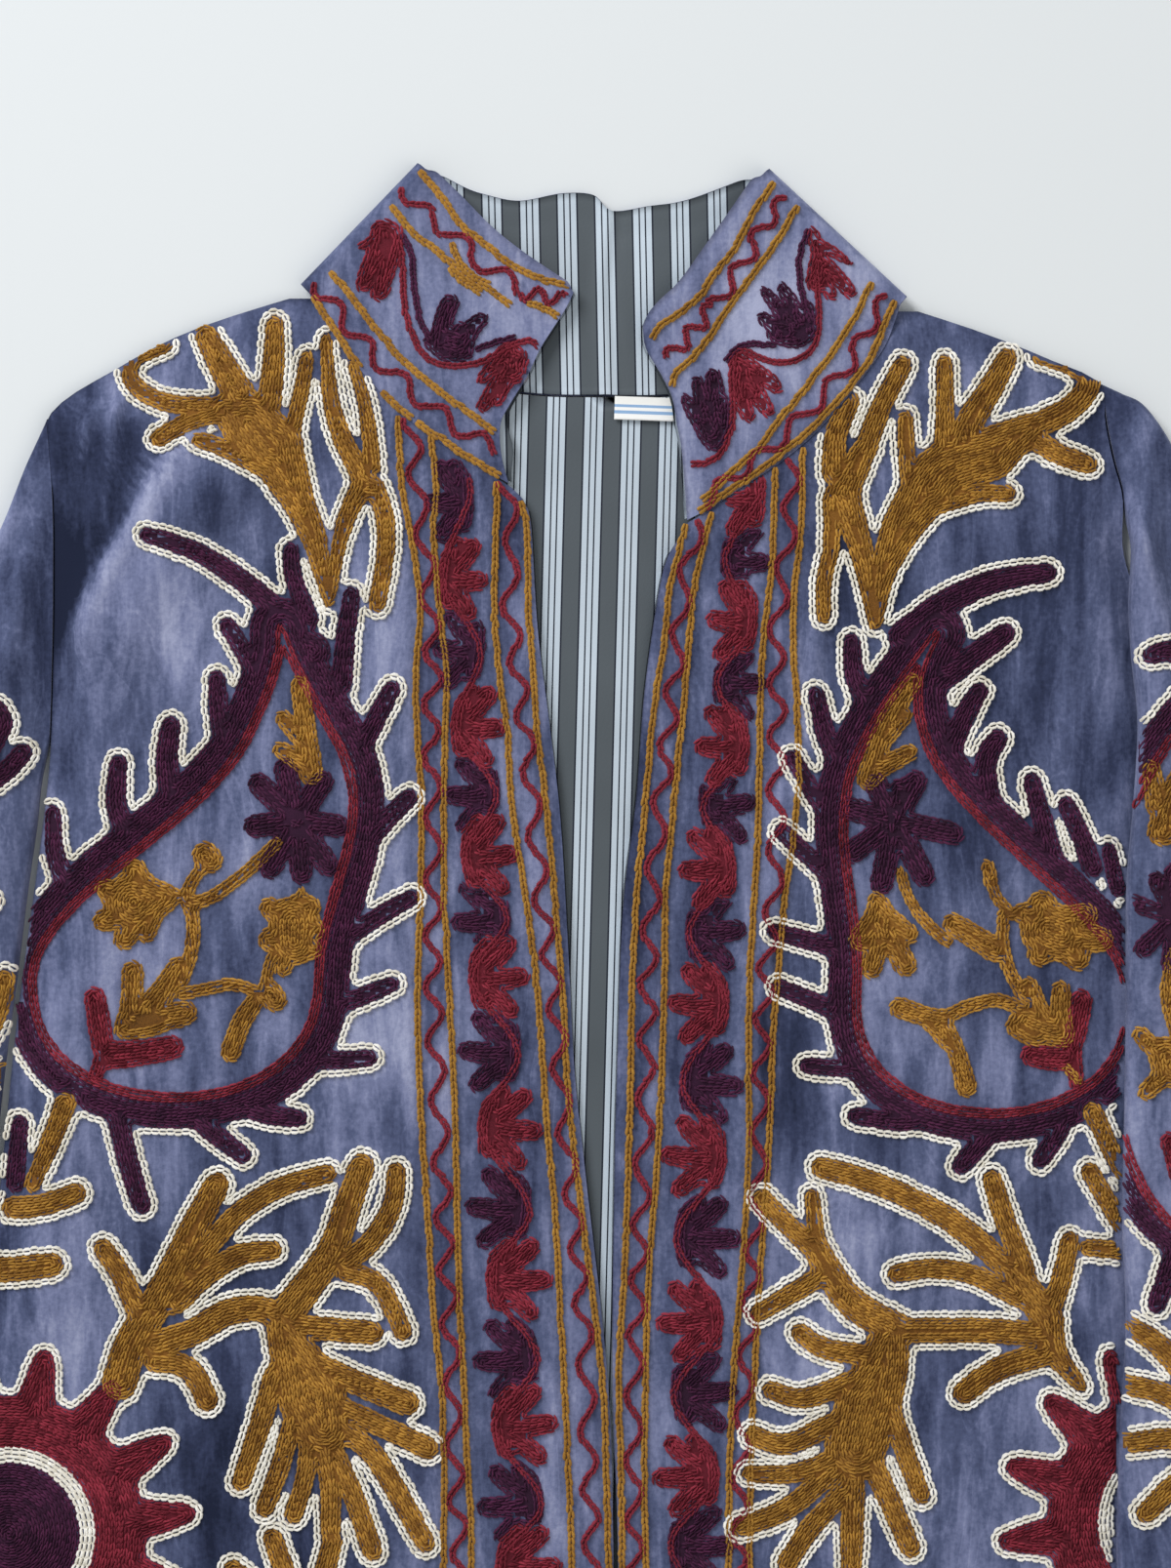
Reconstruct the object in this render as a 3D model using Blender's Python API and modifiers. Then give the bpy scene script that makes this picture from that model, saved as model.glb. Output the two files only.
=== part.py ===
"""Velvet jacket with a stand collar, laid flat on its back with both sleeves down beside the body.

Places on the jacket are given as "out", millimetres from the centre front line with the
wearer's left side at +, and "down", millimetres below the right neck point. Heights are
millimetres above the surface that the jacket lies on. Left and right are the wearer's.
"""
import math

import bmesh
import bpy
from mathutils import Matrix, Vector

MM = 0.001

# Driving sizes in millimetres
VELVET = 2.2            # cotton velvet with its backing cloth
SLEEVE_WALL = 2.0       # velvet with the sleeve's lining
LINING = 1.0            # striped cotton lining
SEAM_GAP = 0.3          # between pieces that are sewn to each other
PLAN_GAP = 0.35         # half the gap of a seam that is seen from above
BACK_TOP = 2.0          # top of the back, which lies on the surface
LINING_TOP = BACK_TOP + SEAM_GAP + LINING
FACING_TOP = LINING_TOP + SEAM_GAP + LINING
FRONT_Z = 5.0           # underside of a front over the lining
ARMHOLE_Z = 4.2         # underside of a front where its sleeve is set in
NECK_Z = 6.4            # underside of a front where the collar is set on
ROUND_OVER = 15.0       # width in which a front comes down to its side seam
HEM = 651.9             # length from the neck point to the hem
FACING_WIDTH = 18.0
LINING_INSET = 12.0     # the lining's edge, in from the shoulder, armhole and side seams
LINING_HEM = 14.0       # the lining's hem, up from the jacket's
ROLLED_OUT = 0.5        # how far the facing shows past the velvet's edge
COLLAR_VELVET = 2.0
COLLAR_Z = (1.0, 7.9)   # middle of the collar's velvet, back part and front part
COLLAR_LINING_Z = (2.8, 6.1)
SLEEVE_THICK = 7.6
SLEEVE_THICK_AT_HEAD = 6.4
OVER_BODY = 9.9         # height at which the left sleeve lies over the left front
LABEL_SIZE = (23.0, 9.0, 0.7)
LABEL_AT = (16.2, 45.4)

# Middle of the laid out jacket, which comes to the origin
MIDDLE_OUT = -23.7
MIDDLE_DOWN = 301.107

# Shoulder, armhole and side seam of each half, out and down
RIGHT_SIDE = (
    (-111.4, 1.1), (-154.3, 14.8), (-183.9, 29.6), (-210.9, 49.2), (-208.6, 80.0), (-208.3, 112.8),
    (-208.7, 141.0), (-209.8, 172.1), (-213.2, 205.3), (-223.0, 279.4), (-230.6, 353.4),
    (-245.4, 482.8), (-265.3, HEM),
)
LEFT_SIDE = (
    (113.0, 6.0), (145.4, 16.6), (173.2, 27.8), (189.8, 35.9), (191.3, 50.0), (194.2, 64.8),
    (198.0, 79.5), (198.2, 98.0), (202.0, 112.8), (207.0, 131.3), (209.8, 149.8), (212.0, 172.1),
    (213.5, 205.3), (218.7, 279.4), (223.1, 353.4), (236.1, 482.8), (256.4, HEM),
)
# Neck seam of each front, from the neck point to the front edge
RIGHT_NECK = (
    (-111.4, 1.1), (-105.4, 12.4), (-96.6, 25.4), (-87.0, 36.4), (-78.4, 45.6), (-68.1, 54.2),
    (-57.0, 62.0), (-46.2, 68.6), (-35.5, 74.5),
)
LEFT_NECK = (
    (113.0, 6.0), (107.6, 21.1), (99.9, 32.6), (89.5, 45.9), (78.4, 57.7), (65.5, 68.1),
    (52.9, 76.3), (43.7, 82.6), (32.2, 88.8),
)
# Front edges, from the neck seam to the hem
RIGHT_EDGE = (
    (-35.5, 74.5), (-29.2, 80.3), (-27.4, 87.0), (-26.6, 94.3), (-24.4, 129.9), (-20.0, 165.0),
    (-15.9, 200.5), (-12.9, 250.1), (-10.4, 297.9), (-6.3, 336.0), (2.2, 415.1), (4.4, 485.4), (6.3, HEM),
)
LEFT_EDGE = (
    (32.2, 88.8), (27.8, 96.2), (22.6, 109.2), (16.3, 151.0), (12.9, 193.5), (7.8, 236.1), (5.6, 297.9),
    (4.6, 336.0), (3.9, 415.1), (6.1, 485.4), (8.0, HEM),
)
# Back neck seam, and the collar's top edge behind it
BACK_NECK = (
    (-111.4, 1.1), (-87.7, 20.4), (-58.1, 34.4), (-26.6, 39.6), (0.0, 40.3), (27.0, 40.0), (58.5, 35.1),
    (88.1, 22.6), (113.0, 6.0),
)
BACK_TOP_EDGE = (
    (-65.5, -46.6), (-52.9, -39.6), (-44.4, -36.6), (-31.4, -34.2), (-15.5, -37.0), (-3.3, -36.4),
    (3.7, -30.4), (18.1, -32.2), (33.3, -34.8), (58.8, -44.4),
)
# Collar's front parts: top edge and front end
RIGHT_COLLAR_TOP = (
    (-10.0, -0.4), (-20.4, -7.0), (-32.2, -15.2), (-42.5, -23.7), (-53.6, -35.0), (-65.5, -46.6),
)
LEFT_COLLAR_TOP = (
    (15.5, 12.2), (21.1, 5.5), (29.2, -2.4), (38.5, -15.2), (48.7, -29.6), (58.8, -44.4),
)
RIGHT_COLLAR_END = (
    (-35.5, 74.0), (-38.3, 62.9), (-38.6, 51.8), (-35.4, 45.0), (-28.1, 33.0), (-22.9, 22.2),
    (-13.7, 7.8), (-10.0, -0.4),
)
LEFT_COLLAR_END = (
    (32.2, 88.0), (30.3, 62.9), (28.3, 51.8), (26.6, 41.8), (22.2, 32.6), (16.3, 22.2), (15.5, 12.2),
)
# Sleeve sections: outer fold out and down, inner fold out and down
RIGHT_SLEEVE = (
    (-211.4, 49.2, -210.4, 172.0), (-219.5, 66.0, -212.9, 189.0), (-228.3, 90.0, -215.2, 206.0),
    (-243.0, 118.0, -218.8, 232.0), (-258.0, 146.0, -222.2, 260.0), (-291.0, 205.0, -227.4, 300.0),
    (-317.0, 261.0, -232.0, 345.0), (-333.0, 310.0, -236.8, 390.0), (-343.0, 353.0, -241.6, 430.0),
    (-355.0, 410.0, -246.6, 475.0), (-366.0, 470.0, -251.6, 520.0), (-377.0, 540.0, -257.4, 568.0),
    (-387.4, 612.0, -262.0, 607.0),
)
LEFT_SLEEVE = (
    (190.2, 35.9, 199.7, 80.5), (198.0, 39.5, 199.8, 92.0), (206.1, 44.0, 199.8, 103.0),
    (215.7, 57.4, 198.7, 120.0), (222.5, 74.0, 199.6, 140.0), (228.5, 90.7, 202.0, 165.0),
    (239.0, 118.0, 200.5, 195.0), (250.0, 146.0, 197.8, 228.0), (276.0, 205.0, 197.6, 272.0),
    (292.0, 261.0, 196.8, 320.0), (302.0, 310.0, 196.2, 355.0), (309.0, 353.0, 197.5, 392.0),
    (314.0, 410.0, 195.0, 440.0), (318.0, 470.0, 194.5, 490.0), (326.0, 540.0, 201.0, 550.0),
    (340.0, 612.0, 213.0, 607.0),
)
# Soft folds of the fronts: start out and down, end out and down, half width, height
FOLDS = (
    ("armhole roll", -143.0, 66.0, -187.0, 132.0, 17.0, 6.0),
    ("armhole fold, long", -176.0, 52.0, -189.0, 84.0, 4.5, 2.2),
    ("armhole fold, short", -193.0, 52.0, -199.0, 78.0, 4.5, 1.8),
    ("right side swell", -191.0, 160.0, -208.0, 380.0, 20.0, 3.2),
    ("right chest", -120.0, 150.0, -128.0, 330.0, 26.0, 1.2),
    ("right skirt, inner", -92.0, 400.0, -98.0, 640.0, 20.0, 1.5),
    ("right skirt, outer", -180.0, 430.0, -196.0, 640.0, 20.0, 1.5),
    ("left chest", 128.0, 120.0, 132.0, 330.0, 26.0, 1.3),
    ("left armhole drop", 176.0, 70.0, 186.0, 250.0, 14.0, 1.0),
    ("left skirt, inner", 92.0, 390.0, 96.0, 640.0, 20.0, 1.5),
    ("left skirt, outer", 160.0, 430.0, 172.0, 640.0, 18.0, 1.2),
)


def smooth(t):
    """Rises softly from 0 to 1 as t goes from 0 to 1."""
    t = min(1.0, max(0.0, t))
    return t * t * (3.0 - 2.0 * t)


def along(points, t):
    """Point at the share t of a curve's length, on a smooth curve through its points."""
    pts = [Vector(p) for p in points]
    steps = [(b - a).length for a, b in zip(pts, pts[1:])]
    reach = max(0.0, min(1.0, t)) * sum(steps)
    i = 0
    while i < len(steps) - 1 and reach > steps[i]:
        reach -= steps[i]
        i += 1
    s = min(1.0, reach / steps[i])
    p0, p1 = pts[max(0, i - 1)], pts[i]
    p2, p3 = pts[i + 1], pts[min(len(pts) - 1, i + 2)]
    m1, m2 = (p2 - p0) * 0.5, (p3 - p1) * 0.5
    return (p1 * (2 * s**3 - 3 * s**2 + 1) + m1 * (s**3 - 2 * s**2 + s)
            + p2 * (3 * s**2 - 2 * s**3) + m2 * (s**3 - s**2))


def out_at(points, down):
    """Distance out of a seam or edge at one height of the jacket."""
    for (o1, d1), (o2, d2) in zip(points, points[1:]):
        if down <= d2:
            return o1 + (o2 - o1) * max(0.0, (down - d1) / (d2 - d1))
    return points[-1][0]


def distance(points, p):
    """Shortest distance in plan from a point to a line through points."""
    best = 1e9
    for a, b in zip(points, points[1:]):
        a, b = Vector(a), Vector(b)
        s = max(0.0, min(1.0, (p - a).dot(b - a) / max(1e-9, (b - a).length_squared)))
        best = min(best, (p - a.lerp(b, s)).length)
    return best


def place(out, down, up):
    """Point of the model, in metres, at a place on the jacket."""
    return Vector(((out - MIDDLE_OUT) * MM, (MIDDLE_DOWN - down) * MM, up * MM))


def cloth(name, colour, roughness):
    """Material of one cloth."""
    mat = bpy.data.materials.new(name)
    mat.use_nodes = True
    bsdf = mat.node_tree.nodes["Principled BSDF"]
    bsdf.inputs["Base Color"].default_value = (*colour, 1.0)
    bsdf.inputs["Roughness"].default_value = roughness
    bsdf.inputs["Metallic"].default_value = 0.0
    return mat


def add_object(name, data, material):
    obj = bpy.data.objects.new(name, data)
    data.materials.append(material)
    jacket.objects.link(obj)
    return obj


def solid_from(name, bm, material):
    bmesh.ops.recalc_face_normals(bm, faces=bm.faces)
    mesh = bpy.data.meshes.new(name)
    bm.to_mesh(mesh)
    bm.free()
    mesh.shade_smooth()
    mesh.set_sharp_from_angle(angle=math.radians(40))
    return add_object(name, mesh, material)


def flat_piece(name, outline, bottom, top, material):
    """A flat piece of cloth cut to an outline."""
    curve = bpy.data.curves.new(name, "CURVE")
    curve.dimensions = "2D"
    curve.fill_mode = "BOTH"
    curve.extrude = (top - bottom) / 2 * MM
    spline = curve.splines.new("POLY")
    spline.points.add(len(outline) - 1)
    for point, (out, down) in zip(spline.points, outline):
        point.co = (*place(out, down, 0.0).xy, 0.0, 1.0)
    spline.use_cyclic_u = True
    obj = add_object(name, curve, material)
    obj.location.z = (top + bottom) / 2 * MM
    return obj


def front_underside(p, side, neck, armhole, limit):
    """Height of a front's underside at a place in plan."""
    up = FRONT_Z
    for _, o1, d1, o2, d2, width, height in FOLDS:
        up += height * math.exp(-(distance(((o1, d1), (o2, d2)), p) / width) ** 2)
    up += (NECK_Z - FRONT_Z) * (1.0 - smooth(distance(neck, p) / 24.0))
    up = min(up, limit)
    first, last = armhole
    set_in = smooth((p.y - first + 8.0) / 10.0) * smooth((last + 12.0 - p.y) / 24.0)
    seam = BACK_TOP + SEAM_GAP + (ARMHOLE_Z - BACK_TOP - SEAM_GAP) * set_in
    to_seam = min(distance(side, p), HEM - p.y)
    return seam + (up - seam) * smooth(to_seam / ROUND_OVER)


def front(name, side, neck, edge, armhole, towards_side, limit, material):
    """One front: rows from the neck point to the hem, drawn up to the cloth's thickness."""
    rows = [neck[0][1] + 2.4, neck[0][1] + 6.5]
    rows += [d for _, d in neck[1:]] + [d for _, d in edge[1:3]]
    while rows[-1] < HEM - 40:
        rows.append(rows[-1] + (13.0 if rows[-1] < 170 else 30.0))
    rows += [HEM - 11, HEM - 4.5, HEM]
    inner = neck[:-1] + edge
    share = [0.0, 0.02, 0.055, 0.12, 0.22, 0.34, 0.46, 0.58, 0.70, 0.81, 0.91, 1.0]
    bm = bmesh.new()
    grid = []
    for down in rows:
        start = out_at(side, down) - towards_side * PLAN_GAP
        sewn = 2.0 * PLAN_GAP * (1.0 - smooth((down - neck[-1][1]) / 8.0))
        stop = out_at(inner, down) + towards_side * sewn
        row = []
        for s in share:
            p = Vector((start + (stop - start) * s, down))
            up = front_underside(p, side, neck, armhole, limit)
            row.append(bm.verts.new(place(p.x, p.y, up)))
        grid.append(row)
    for a, b in zip(grid, grid[1:]):
        for i in range(len(a) - 1):
            bm.faces.new((a[i], a[i + 1], b[i + 1], b[i]))
    drawn = bmesh.ops.extrude_face_region(bm, geom=list(bm.faces))
    top = [v for v in drawn["geom"] if isinstance(v, bmesh.types.BMVert)]
    bmesh.ops.translate(bm, verts=top, vec=(0.0, 0.0, VELVET * MM))
    return solid_from(name, bm, material)


def patch(s, t, bottom, top, start, end):
    """Point of a piece between four edges, s along the neck and t from the seam to the top."""
    b, u = along(bottom, s), along(top, s)
    w, e = along(start, t), along(end, t)
    corners = (along(bottom, 0.0) * (1 - s) * (1 - t) + along(bottom, 1.0) * s * (1 - t)
               + along(top, 0.0) * (1 - s) * t + along(top, 1.0) * s * t)
    return b * (1 - t) + u * t + w * (1 - s) + e * s - corners


def stand_collar(name, heights, thickness, end_out, inset, material):
    """Collar from its right front end round the back to its left front end, folded at both sides."""
    right_fold = (BACK_NECK[0], BACK_TOP_EDGE[0])
    left_fold = (BACK_NECK[-1], BACK_TOP_EDGE[-1])
    middle = (heights[0] + heights[1]) / 2
    turn = (heights[1] - heights[0]) / 2
    sides = (
        (RIGHT_NECK, RIGHT_COLLAR_TOP, RIGHT_COLLAR_END, right_fold, -1.0),
        (LEFT_NECK, LEFT_COLLAR_TOP, LEFT_COLLAR_END, left_fold, 1.0),
    )
    bm = bmesh.new()
    grid = []
    for t in (0.0, 0.12, 0.35, 0.6, 0.82, 1.0):
        wings = []
        for seam, top, end, fold, way in sides:
            f0, f1 = Vector(fold[0]), Vector(fold[1])
            axis = (f1 - f0).normalized()
            normal = Vector((-axis.y, axis.x)) if way * -axis.y > 0 else Vector((axis.y, -axis.x))
            t_in = t + (inset / 66.0) * (1.0 - 2.0 * t)
            wing = []
            for i in range(9):
                s = i / 8
                q = patch(s, t_in, seam[::-1], top, end, fold)
                q = q - Vector((way * end_out * (1 - s) ** 6, 0.0))
                wing.append((q, heights[1]))
            f = f0.lerp(f1, t_in)
            for i in range(1, 6):
                a = math.pi * i / 6
                wing.append((f + normal * turn * math.sin(a), middle + turn * math.cos(a)))
            wings.append(wing)
        t_in = t + (inset / 66.0) * (1.0 - 2.0 * t)
        back = [(patch(i / 14, t_in, BACK_NECK, BACK_TOP_EDGE, right_fold, left_fold), heights[0])
                for i in range(15)]
        line = wings[0] + back + wings[1][::-1]
        grid.append([bm.verts.new(place(q.x, q.y, up)) for q, up in line])
    for a, b in zip(grid, grid[1:]):
        for i in range(len(a) - 1):
            bm.faces.new((a[i], a[i + 1], b[i + 1], b[i]))
    obj = solid_from(name, bm, material)
    wall = obj.modifiers.new("wall", "SOLIDIFY")
    wall.thickness = thickness * MM
    wall.offset = 0.0
    return obj


def sleeve(name, sections, bow, lies_at, material):
    """Flattened tube from the armhole to the cuff, open at both ends."""
    flats = (0.0, 0.22, 0.5, 0.78, 1.0)
    turns = (45.0, 90.0, 135.0)
    bm = bmesh.new()
    rings = []
    for k, (oo, od, io, idn) in enumerate(sections):
        outer, inner = Vector((oo, od)), Vector((io, idn))
        length = (outer - inner).length
        rise = smooth(k / 3)
        thick = SLEEVE_THICK_AT_HEAD + (SLEEVE_THICK - SLEEVE_THICK_AT_HEAD) * rise
        pair = []
        for inset in (0.0, SLEEVE_WALL):
            r = thick / 2 - inset
            a, b = thick / 2, length - thick / 2
            profile = [(a + (b - a) * s, -r) for s in flats]
            profile += [(b + r * math.sin(math.radians(g)), -r * math.cos(math.radians(g))) for g in turns]
            profile += [(b + (a - b) * s, r) for s in flats]
            profile += [(a - r * math.sin(math.radians(g)), r * math.cos(math.radians(g))) for g in turns]
            ring = []
            for reach, up in profile:
                p = inner.lerp(outer, reach / length)
                p.x += bow(p.y) * (1.0 - smooth(k / 2))
                ring.append(bm.verts.new(place(p.x, p.y, lies_at(p) + thick / 2 + up)))
            pair.append(ring)
        rings.append(pair)
    count = len(rings[0][0])
    for (oa, ia), (ob, ib) in zip(rings, rings[1:]):
        for i in range(count):
            j = (i + 1) % count
            bm.faces.new((oa[i], oa[j], ob[j], ob[i]))
            bm.faces.new((ia[j], ia[i], ib[i], ib[j]))
    for o, n in (rings[0], rings[-1]):
        for i in range(count):
            j = (i + 1) % count
            bm.faces.new((o[j], o[i], n[i], n[j]))
    return solid_from(name, bm, material)


def body_under(p):
    """Height at which the left sleeve lies: over the front's side, then down on the surface."""
    over = smooth((p.y - 76.0) / 26.0)
    past = p.x - out_at(LEFT_SIDE, p.y)
    return OVER_BODY * over * (1.0 - smooth((past - 2.0) / 14.0))


# Empty scene
for old in list(bpy.data.objects):
    bpy.data.objects.remove(old, do_unlink=True)
jacket = bpy.data.collections.new("velvet_jacket")
bpy.context.scene.collection.children.link(jacket)

velvet = cloth("velvet", (0.145, 0.159, 0.301), 0.85)
striped_lining = cloth("striped_lining", (0.093, 0.107, 0.117), 0.5)
label_tape = cloth("label_tape", (0.79, 0.80, 0.78), 0.6)

# Back and its lining, flat on the surface
neck_line = [tuple(along(BACK_NECK, i / 24) + Vector((0.0, 0.3))) for i in range(1, 24)]
back_outline = [(o + PLAN_GAP, d) for o, d in RIGHT_SIDE[::-1][:-1]]
back_outline += [(-116.0, 3.4), (-109.0, 3.9)] + neck_line
back_outline += [(110.6, 9.0), (118.0, 9.0)] + [(o - PLAN_GAP, d) for o, d in LEFT_SIDE[1:]]
flat_piece("back", back_outline, 0.0, BACK_TOP, velvet)

right_inset = [(o + LINING_INSET, d + (5.0 if d < 45 else 0.0)) for o, d in RIGHT_SIDE[1:-1]]
left_inset = [(o - LINING_INSET, d + (5.0 if d < 45 else 0.0)) for o, d in LEFT_SIDE[1:-1]]
lining_neck = [tuple(along(BACK_NECK, i / 24) + Vector((0.0, 0.5))) for i in range(3, 22)]
right_corner = (RIGHT_SIDE[-1][0] + LINING_INSET, HEM - LINING_HEM)
left_corner = (LEFT_SIDE[-1][0] - LINING_INSET, HEM - LINING_HEM)
lining_outline = [right_corner] + right_inset[::-1] + [(-106.0, 10.0)]
lining_outline += lining_neck + [(106.0, 14.5)] + left_inset + [left_corner]
flat_piece("back_lining", lining_outline, BACK_TOP + SEAM_GAP, LINING_TOP, striped_lining)

# Facings, narrow strips of lining that roll out a little past the front edges
for name, edge, way in (("right_facing", RIGHT_EDGE, 1.0), ("left_facing", LEFT_EDGE, -1.0)):
    line = [(o, d) for o, d in edge if d < HEM - 20]
    line = [(line[0][0] - way * 2.0, line[0][1] + 3.0)] + line[1:] + [(out_at(edge, HEM - 16), HEM - 16)]
    shown = [(o + way * ROLLED_OUT, d) for o, d in line]
    hidden = [(o - way * FACING_WIDTH, d + (8.0 if d < 100 else 0.0)) for o, d in line[2:]]
    flat_piece(name, shown + hidden[::-1], LINING_TOP + SEAM_GAP, FACING_TOP, striped_lining)

# Fronts
front("right_front", RIGHT_SIDE, RIGHT_NECK, RIGHT_EDGE, (49.2, 172.0), -1.0, 11.5, velvet)
front("left_front", LEFT_SIDE, LEFT_NECK, LEFT_EDGE, (35.9, 92.0), 1.0, 6.9, velvet)

# Collar, velvet outside and lining inside
stand_collar("collar", COLLAR_Z, COLLAR_VELVET, 0.0, 0.0, velvet)
stand_collar("collar_lining", COLLAR_LINING_Z, LINING, ROLLED_OUT, 0.4, striped_lining)

# Sleeves, each head bowed to the armhole seam that it is set in


def right_bow(down):
    return out_at(RIGHT_SIDE, down) + 211.2 - (down - 49.2) * 0.0083


def left_bow(down):
    down = min(down, 80.0)
    return out_at(LEFT_SIDE, down) - 189.9 - (down - 35.9) * 0.205


sleeve("right_sleeve", RIGHT_SLEEVE, right_bow, lambda p: 0.0, velvet)
sleeve("left_sleeve", LEFT_SLEEVE, left_bow, body_under, velvet)

# Neck label, a folded tape sewn in under the back neck seam
bpy.ops.mesh.primitive_cube_add(size=1.0)
label = bpy.context.object
label.name = "label"
for other in list(label.users_collection):
    other.objects.unlink(label)
jacket.objects.link(label)
label.data.transform(Matrix.Diagonal((*(side * MM for side in LABEL_SIZE), 1.0)))
label.data.materials.append(label_tape)
label.location = place(*LABEL_AT, LINING_TOP + SEAM_GAP + LABEL_SIZE[2] / 2)
label.rotation_euler.z = math.radians(-2.0)
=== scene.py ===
"""Velvet jacket with a stand collar, laid flat, dressed for its picture.

Places on the jacket are "out", millimetres from the centre front line with the wearer's left
at +, and "down", millimetres below the right neck point. Heights are millimetres above the floor.
"""
import math

import bpy
import numpy as np
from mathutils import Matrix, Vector
from mathutils.bvhtree import BVHTree


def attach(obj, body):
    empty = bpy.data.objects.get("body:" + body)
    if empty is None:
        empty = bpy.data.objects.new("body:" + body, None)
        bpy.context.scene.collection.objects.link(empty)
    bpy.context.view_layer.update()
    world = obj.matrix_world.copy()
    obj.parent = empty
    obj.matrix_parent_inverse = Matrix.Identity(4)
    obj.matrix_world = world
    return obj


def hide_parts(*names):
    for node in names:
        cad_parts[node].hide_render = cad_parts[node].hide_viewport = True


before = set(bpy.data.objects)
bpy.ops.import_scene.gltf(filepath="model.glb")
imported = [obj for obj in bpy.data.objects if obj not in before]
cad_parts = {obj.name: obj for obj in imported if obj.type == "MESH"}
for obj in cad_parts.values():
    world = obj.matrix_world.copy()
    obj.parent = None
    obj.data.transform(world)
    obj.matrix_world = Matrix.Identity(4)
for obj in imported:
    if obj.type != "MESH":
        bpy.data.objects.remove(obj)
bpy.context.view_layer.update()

# Camera. A phone held straight above the collar and chest, so that hem and cuffs are outside
# its picture. Metres, but for the sensor.
PHOTO_HEIGHT = 0.5946          # length of jacket that the picture's long side takes in
CAMERA_UP = 1.2                # above the cloth
CLOTH_UP = 0.008
CAMERA_OVER = (0.0174, 0.1130)
SENSOR = 36.0                  # millimetres
camera = bpy.data.objects.new("camera", bpy.data.cameras.new("camera"))
bpy.context.scene.collection.objects.link(camera)
camera.data.sensor_width = SENSOR
camera.data.lens = SENSOR * CAMERA_UP / PHOTO_HEIGHT
camera.location = (*CAMERA_OVER, CLOTH_UP + CAMERA_UP)
bpy.context.scene.camera = camera

# Back of velvet, cut in one piece. Cotton velvet, woven and sheared, dyed slate lavender; its
# pile lies different ways after handling, which gives the light and dark streaks and patches.
MIDDLE = (-23.7, 301.107)      # out and down of the point that lies at the origin
HEM = 651.9
# Shoulder, armhole and side seam of each half, out and down
RIGHT_SIDE = (
    (-111.4, 1.1), (-154.3, 14.8), (-183.9, 29.6), (-210.9, 49.2), (-208.6, 80.0), (-208.3, 112.8),
    (-208.7, 141.0), (-209.8, 172.1), (-213.2, 205.3), (-223.0, 279.4), (-230.6, 353.4),
    (-245.4, 482.8), (-265.3, HEM),
)
LEFT_SIDE = (
    (113.0, 6.0), (145.4, 16.6), (173.2, 27.8), (189.8, 35.9), (191.3, 50.0), (194.2, 64.8),
    (198.0, 79.5), (198.2, 98.0), (202.0, 112.8), (207.0, 131.3), (209.8, 149.8), (212.0, 172.1),
    (213.5, 205.3), (218.7, 279.4), (223.1, 353.4), (236.1, 482.8), (256.4, HEM),
)
BACK_NECK = (
    (-111.4, 1.1), (-87.7, 20.4), (-58.1, 34.4), (-26.6, 39.6), (0.0, 40.3), (27.0, 40.0), (58.5, 35.1),
    (88.1, 22.6), (113.0, 6.0),
)


def place(out, down, up):
    """Points of the model, in metres, at places on the jacket."""
    out, down, up = np.broadcast_arrays(*(np.asarray(v, float) for v in (out, down, up)))
    return np.stack((out - MIDDLE[0], MIDDLE[1] - down, up), -1) * 0.001


def bend(points, step=2.0):
    """Smooth line through a few points, with a point about every step millimetres."""
    p = np.asarray(points, float)
    n = len(p)
    found = []
    for i in range(n - 1):
        a, b = p[i], p[i + 1]
        m0 = (b - p[max(0, i - 1)]) * 0.5
        m1 = (p[min(n - 1, i + 2)] - a) * 0.5
        count = max(1, int(np.linalg.norm((b - a)[:2]) / step))
        t = (np.arange(count) / count)[:, None]
        found.append(a * (2 * t**3 - 3 * t**2 + 1) + m0 * (t**3 - 2 * t**2 + t)
                     + b * (3 * t**2 - 2 * t**3) + m1 * (t**3 - t**2))
    found.append(p[-1:])
    return np.concatenate(found)


def linear(hex_colour):
    """Linear red, green, blue and alpha of an sRGB hex colour."""
    c = np.array([int(hex_colour[i:i + 2], 16) for i in (1, 3, 5)]) / 255.0
    c = np.where(c <= 0.04045, c / 12.92, ((c + 0.055) / 1.055) ** 2.4)
    return (*(float(x) for x in c), 1.0)


def node(mat, kind, links=(), **settings):
    """Adds a shader node with its settings and the sockets that feed it."""
    made = mat.node_tree.nodes.new("ShaderNode" + kind)
    for key, value in settings.items():
        if hasattr(made, key):
            setattr(made, key, value)
        else:
            made.inputs[key.replace("_", " ").strip()].default_value = value
    for socket, source in dict(links).items():
        mat.node_tree.links.new(source, made.inputs[socket])
    return made


def material(name):
    """A new material without nodes but its output."""
    mat = bpy.data.materials.new(name)
    mat.use_nodes = True
    for old in [n for n in mat.node_tree.nodes if n.type != "OUTPUT_MATERIAL"]:
        mat.node_tree.nodes.remove(old)
    return mat


def finish_with(mat, shader):
    """Ends a material with its shader."""
    out = next(n for n in mat.node_tree.nodes if n.type == "OUTPUT_MATERIAL")
    mat.node_tree.links.new(shader.outputs[0], out.inputs["Surface"])
    return mat


def ramp(mat, source, *stops, stepped=False):
    """Colour ramp of (place, hex colour) stops fed by a socket; stepped has hard edges."""
    made = node(mat, "ValToRGB", {"Fac": source})
    band = made.color_ramp
    if stepped:
        band.interpolation = "CONSTANT"
    while len(band.elements) < len(stops):
        band.elements.new(0.5)
    for element, (stop, colour) in zip(band.elements, stops):
        element.position = stop
        element.color = linear(colour)
    return made.outputs["Color"]


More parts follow.
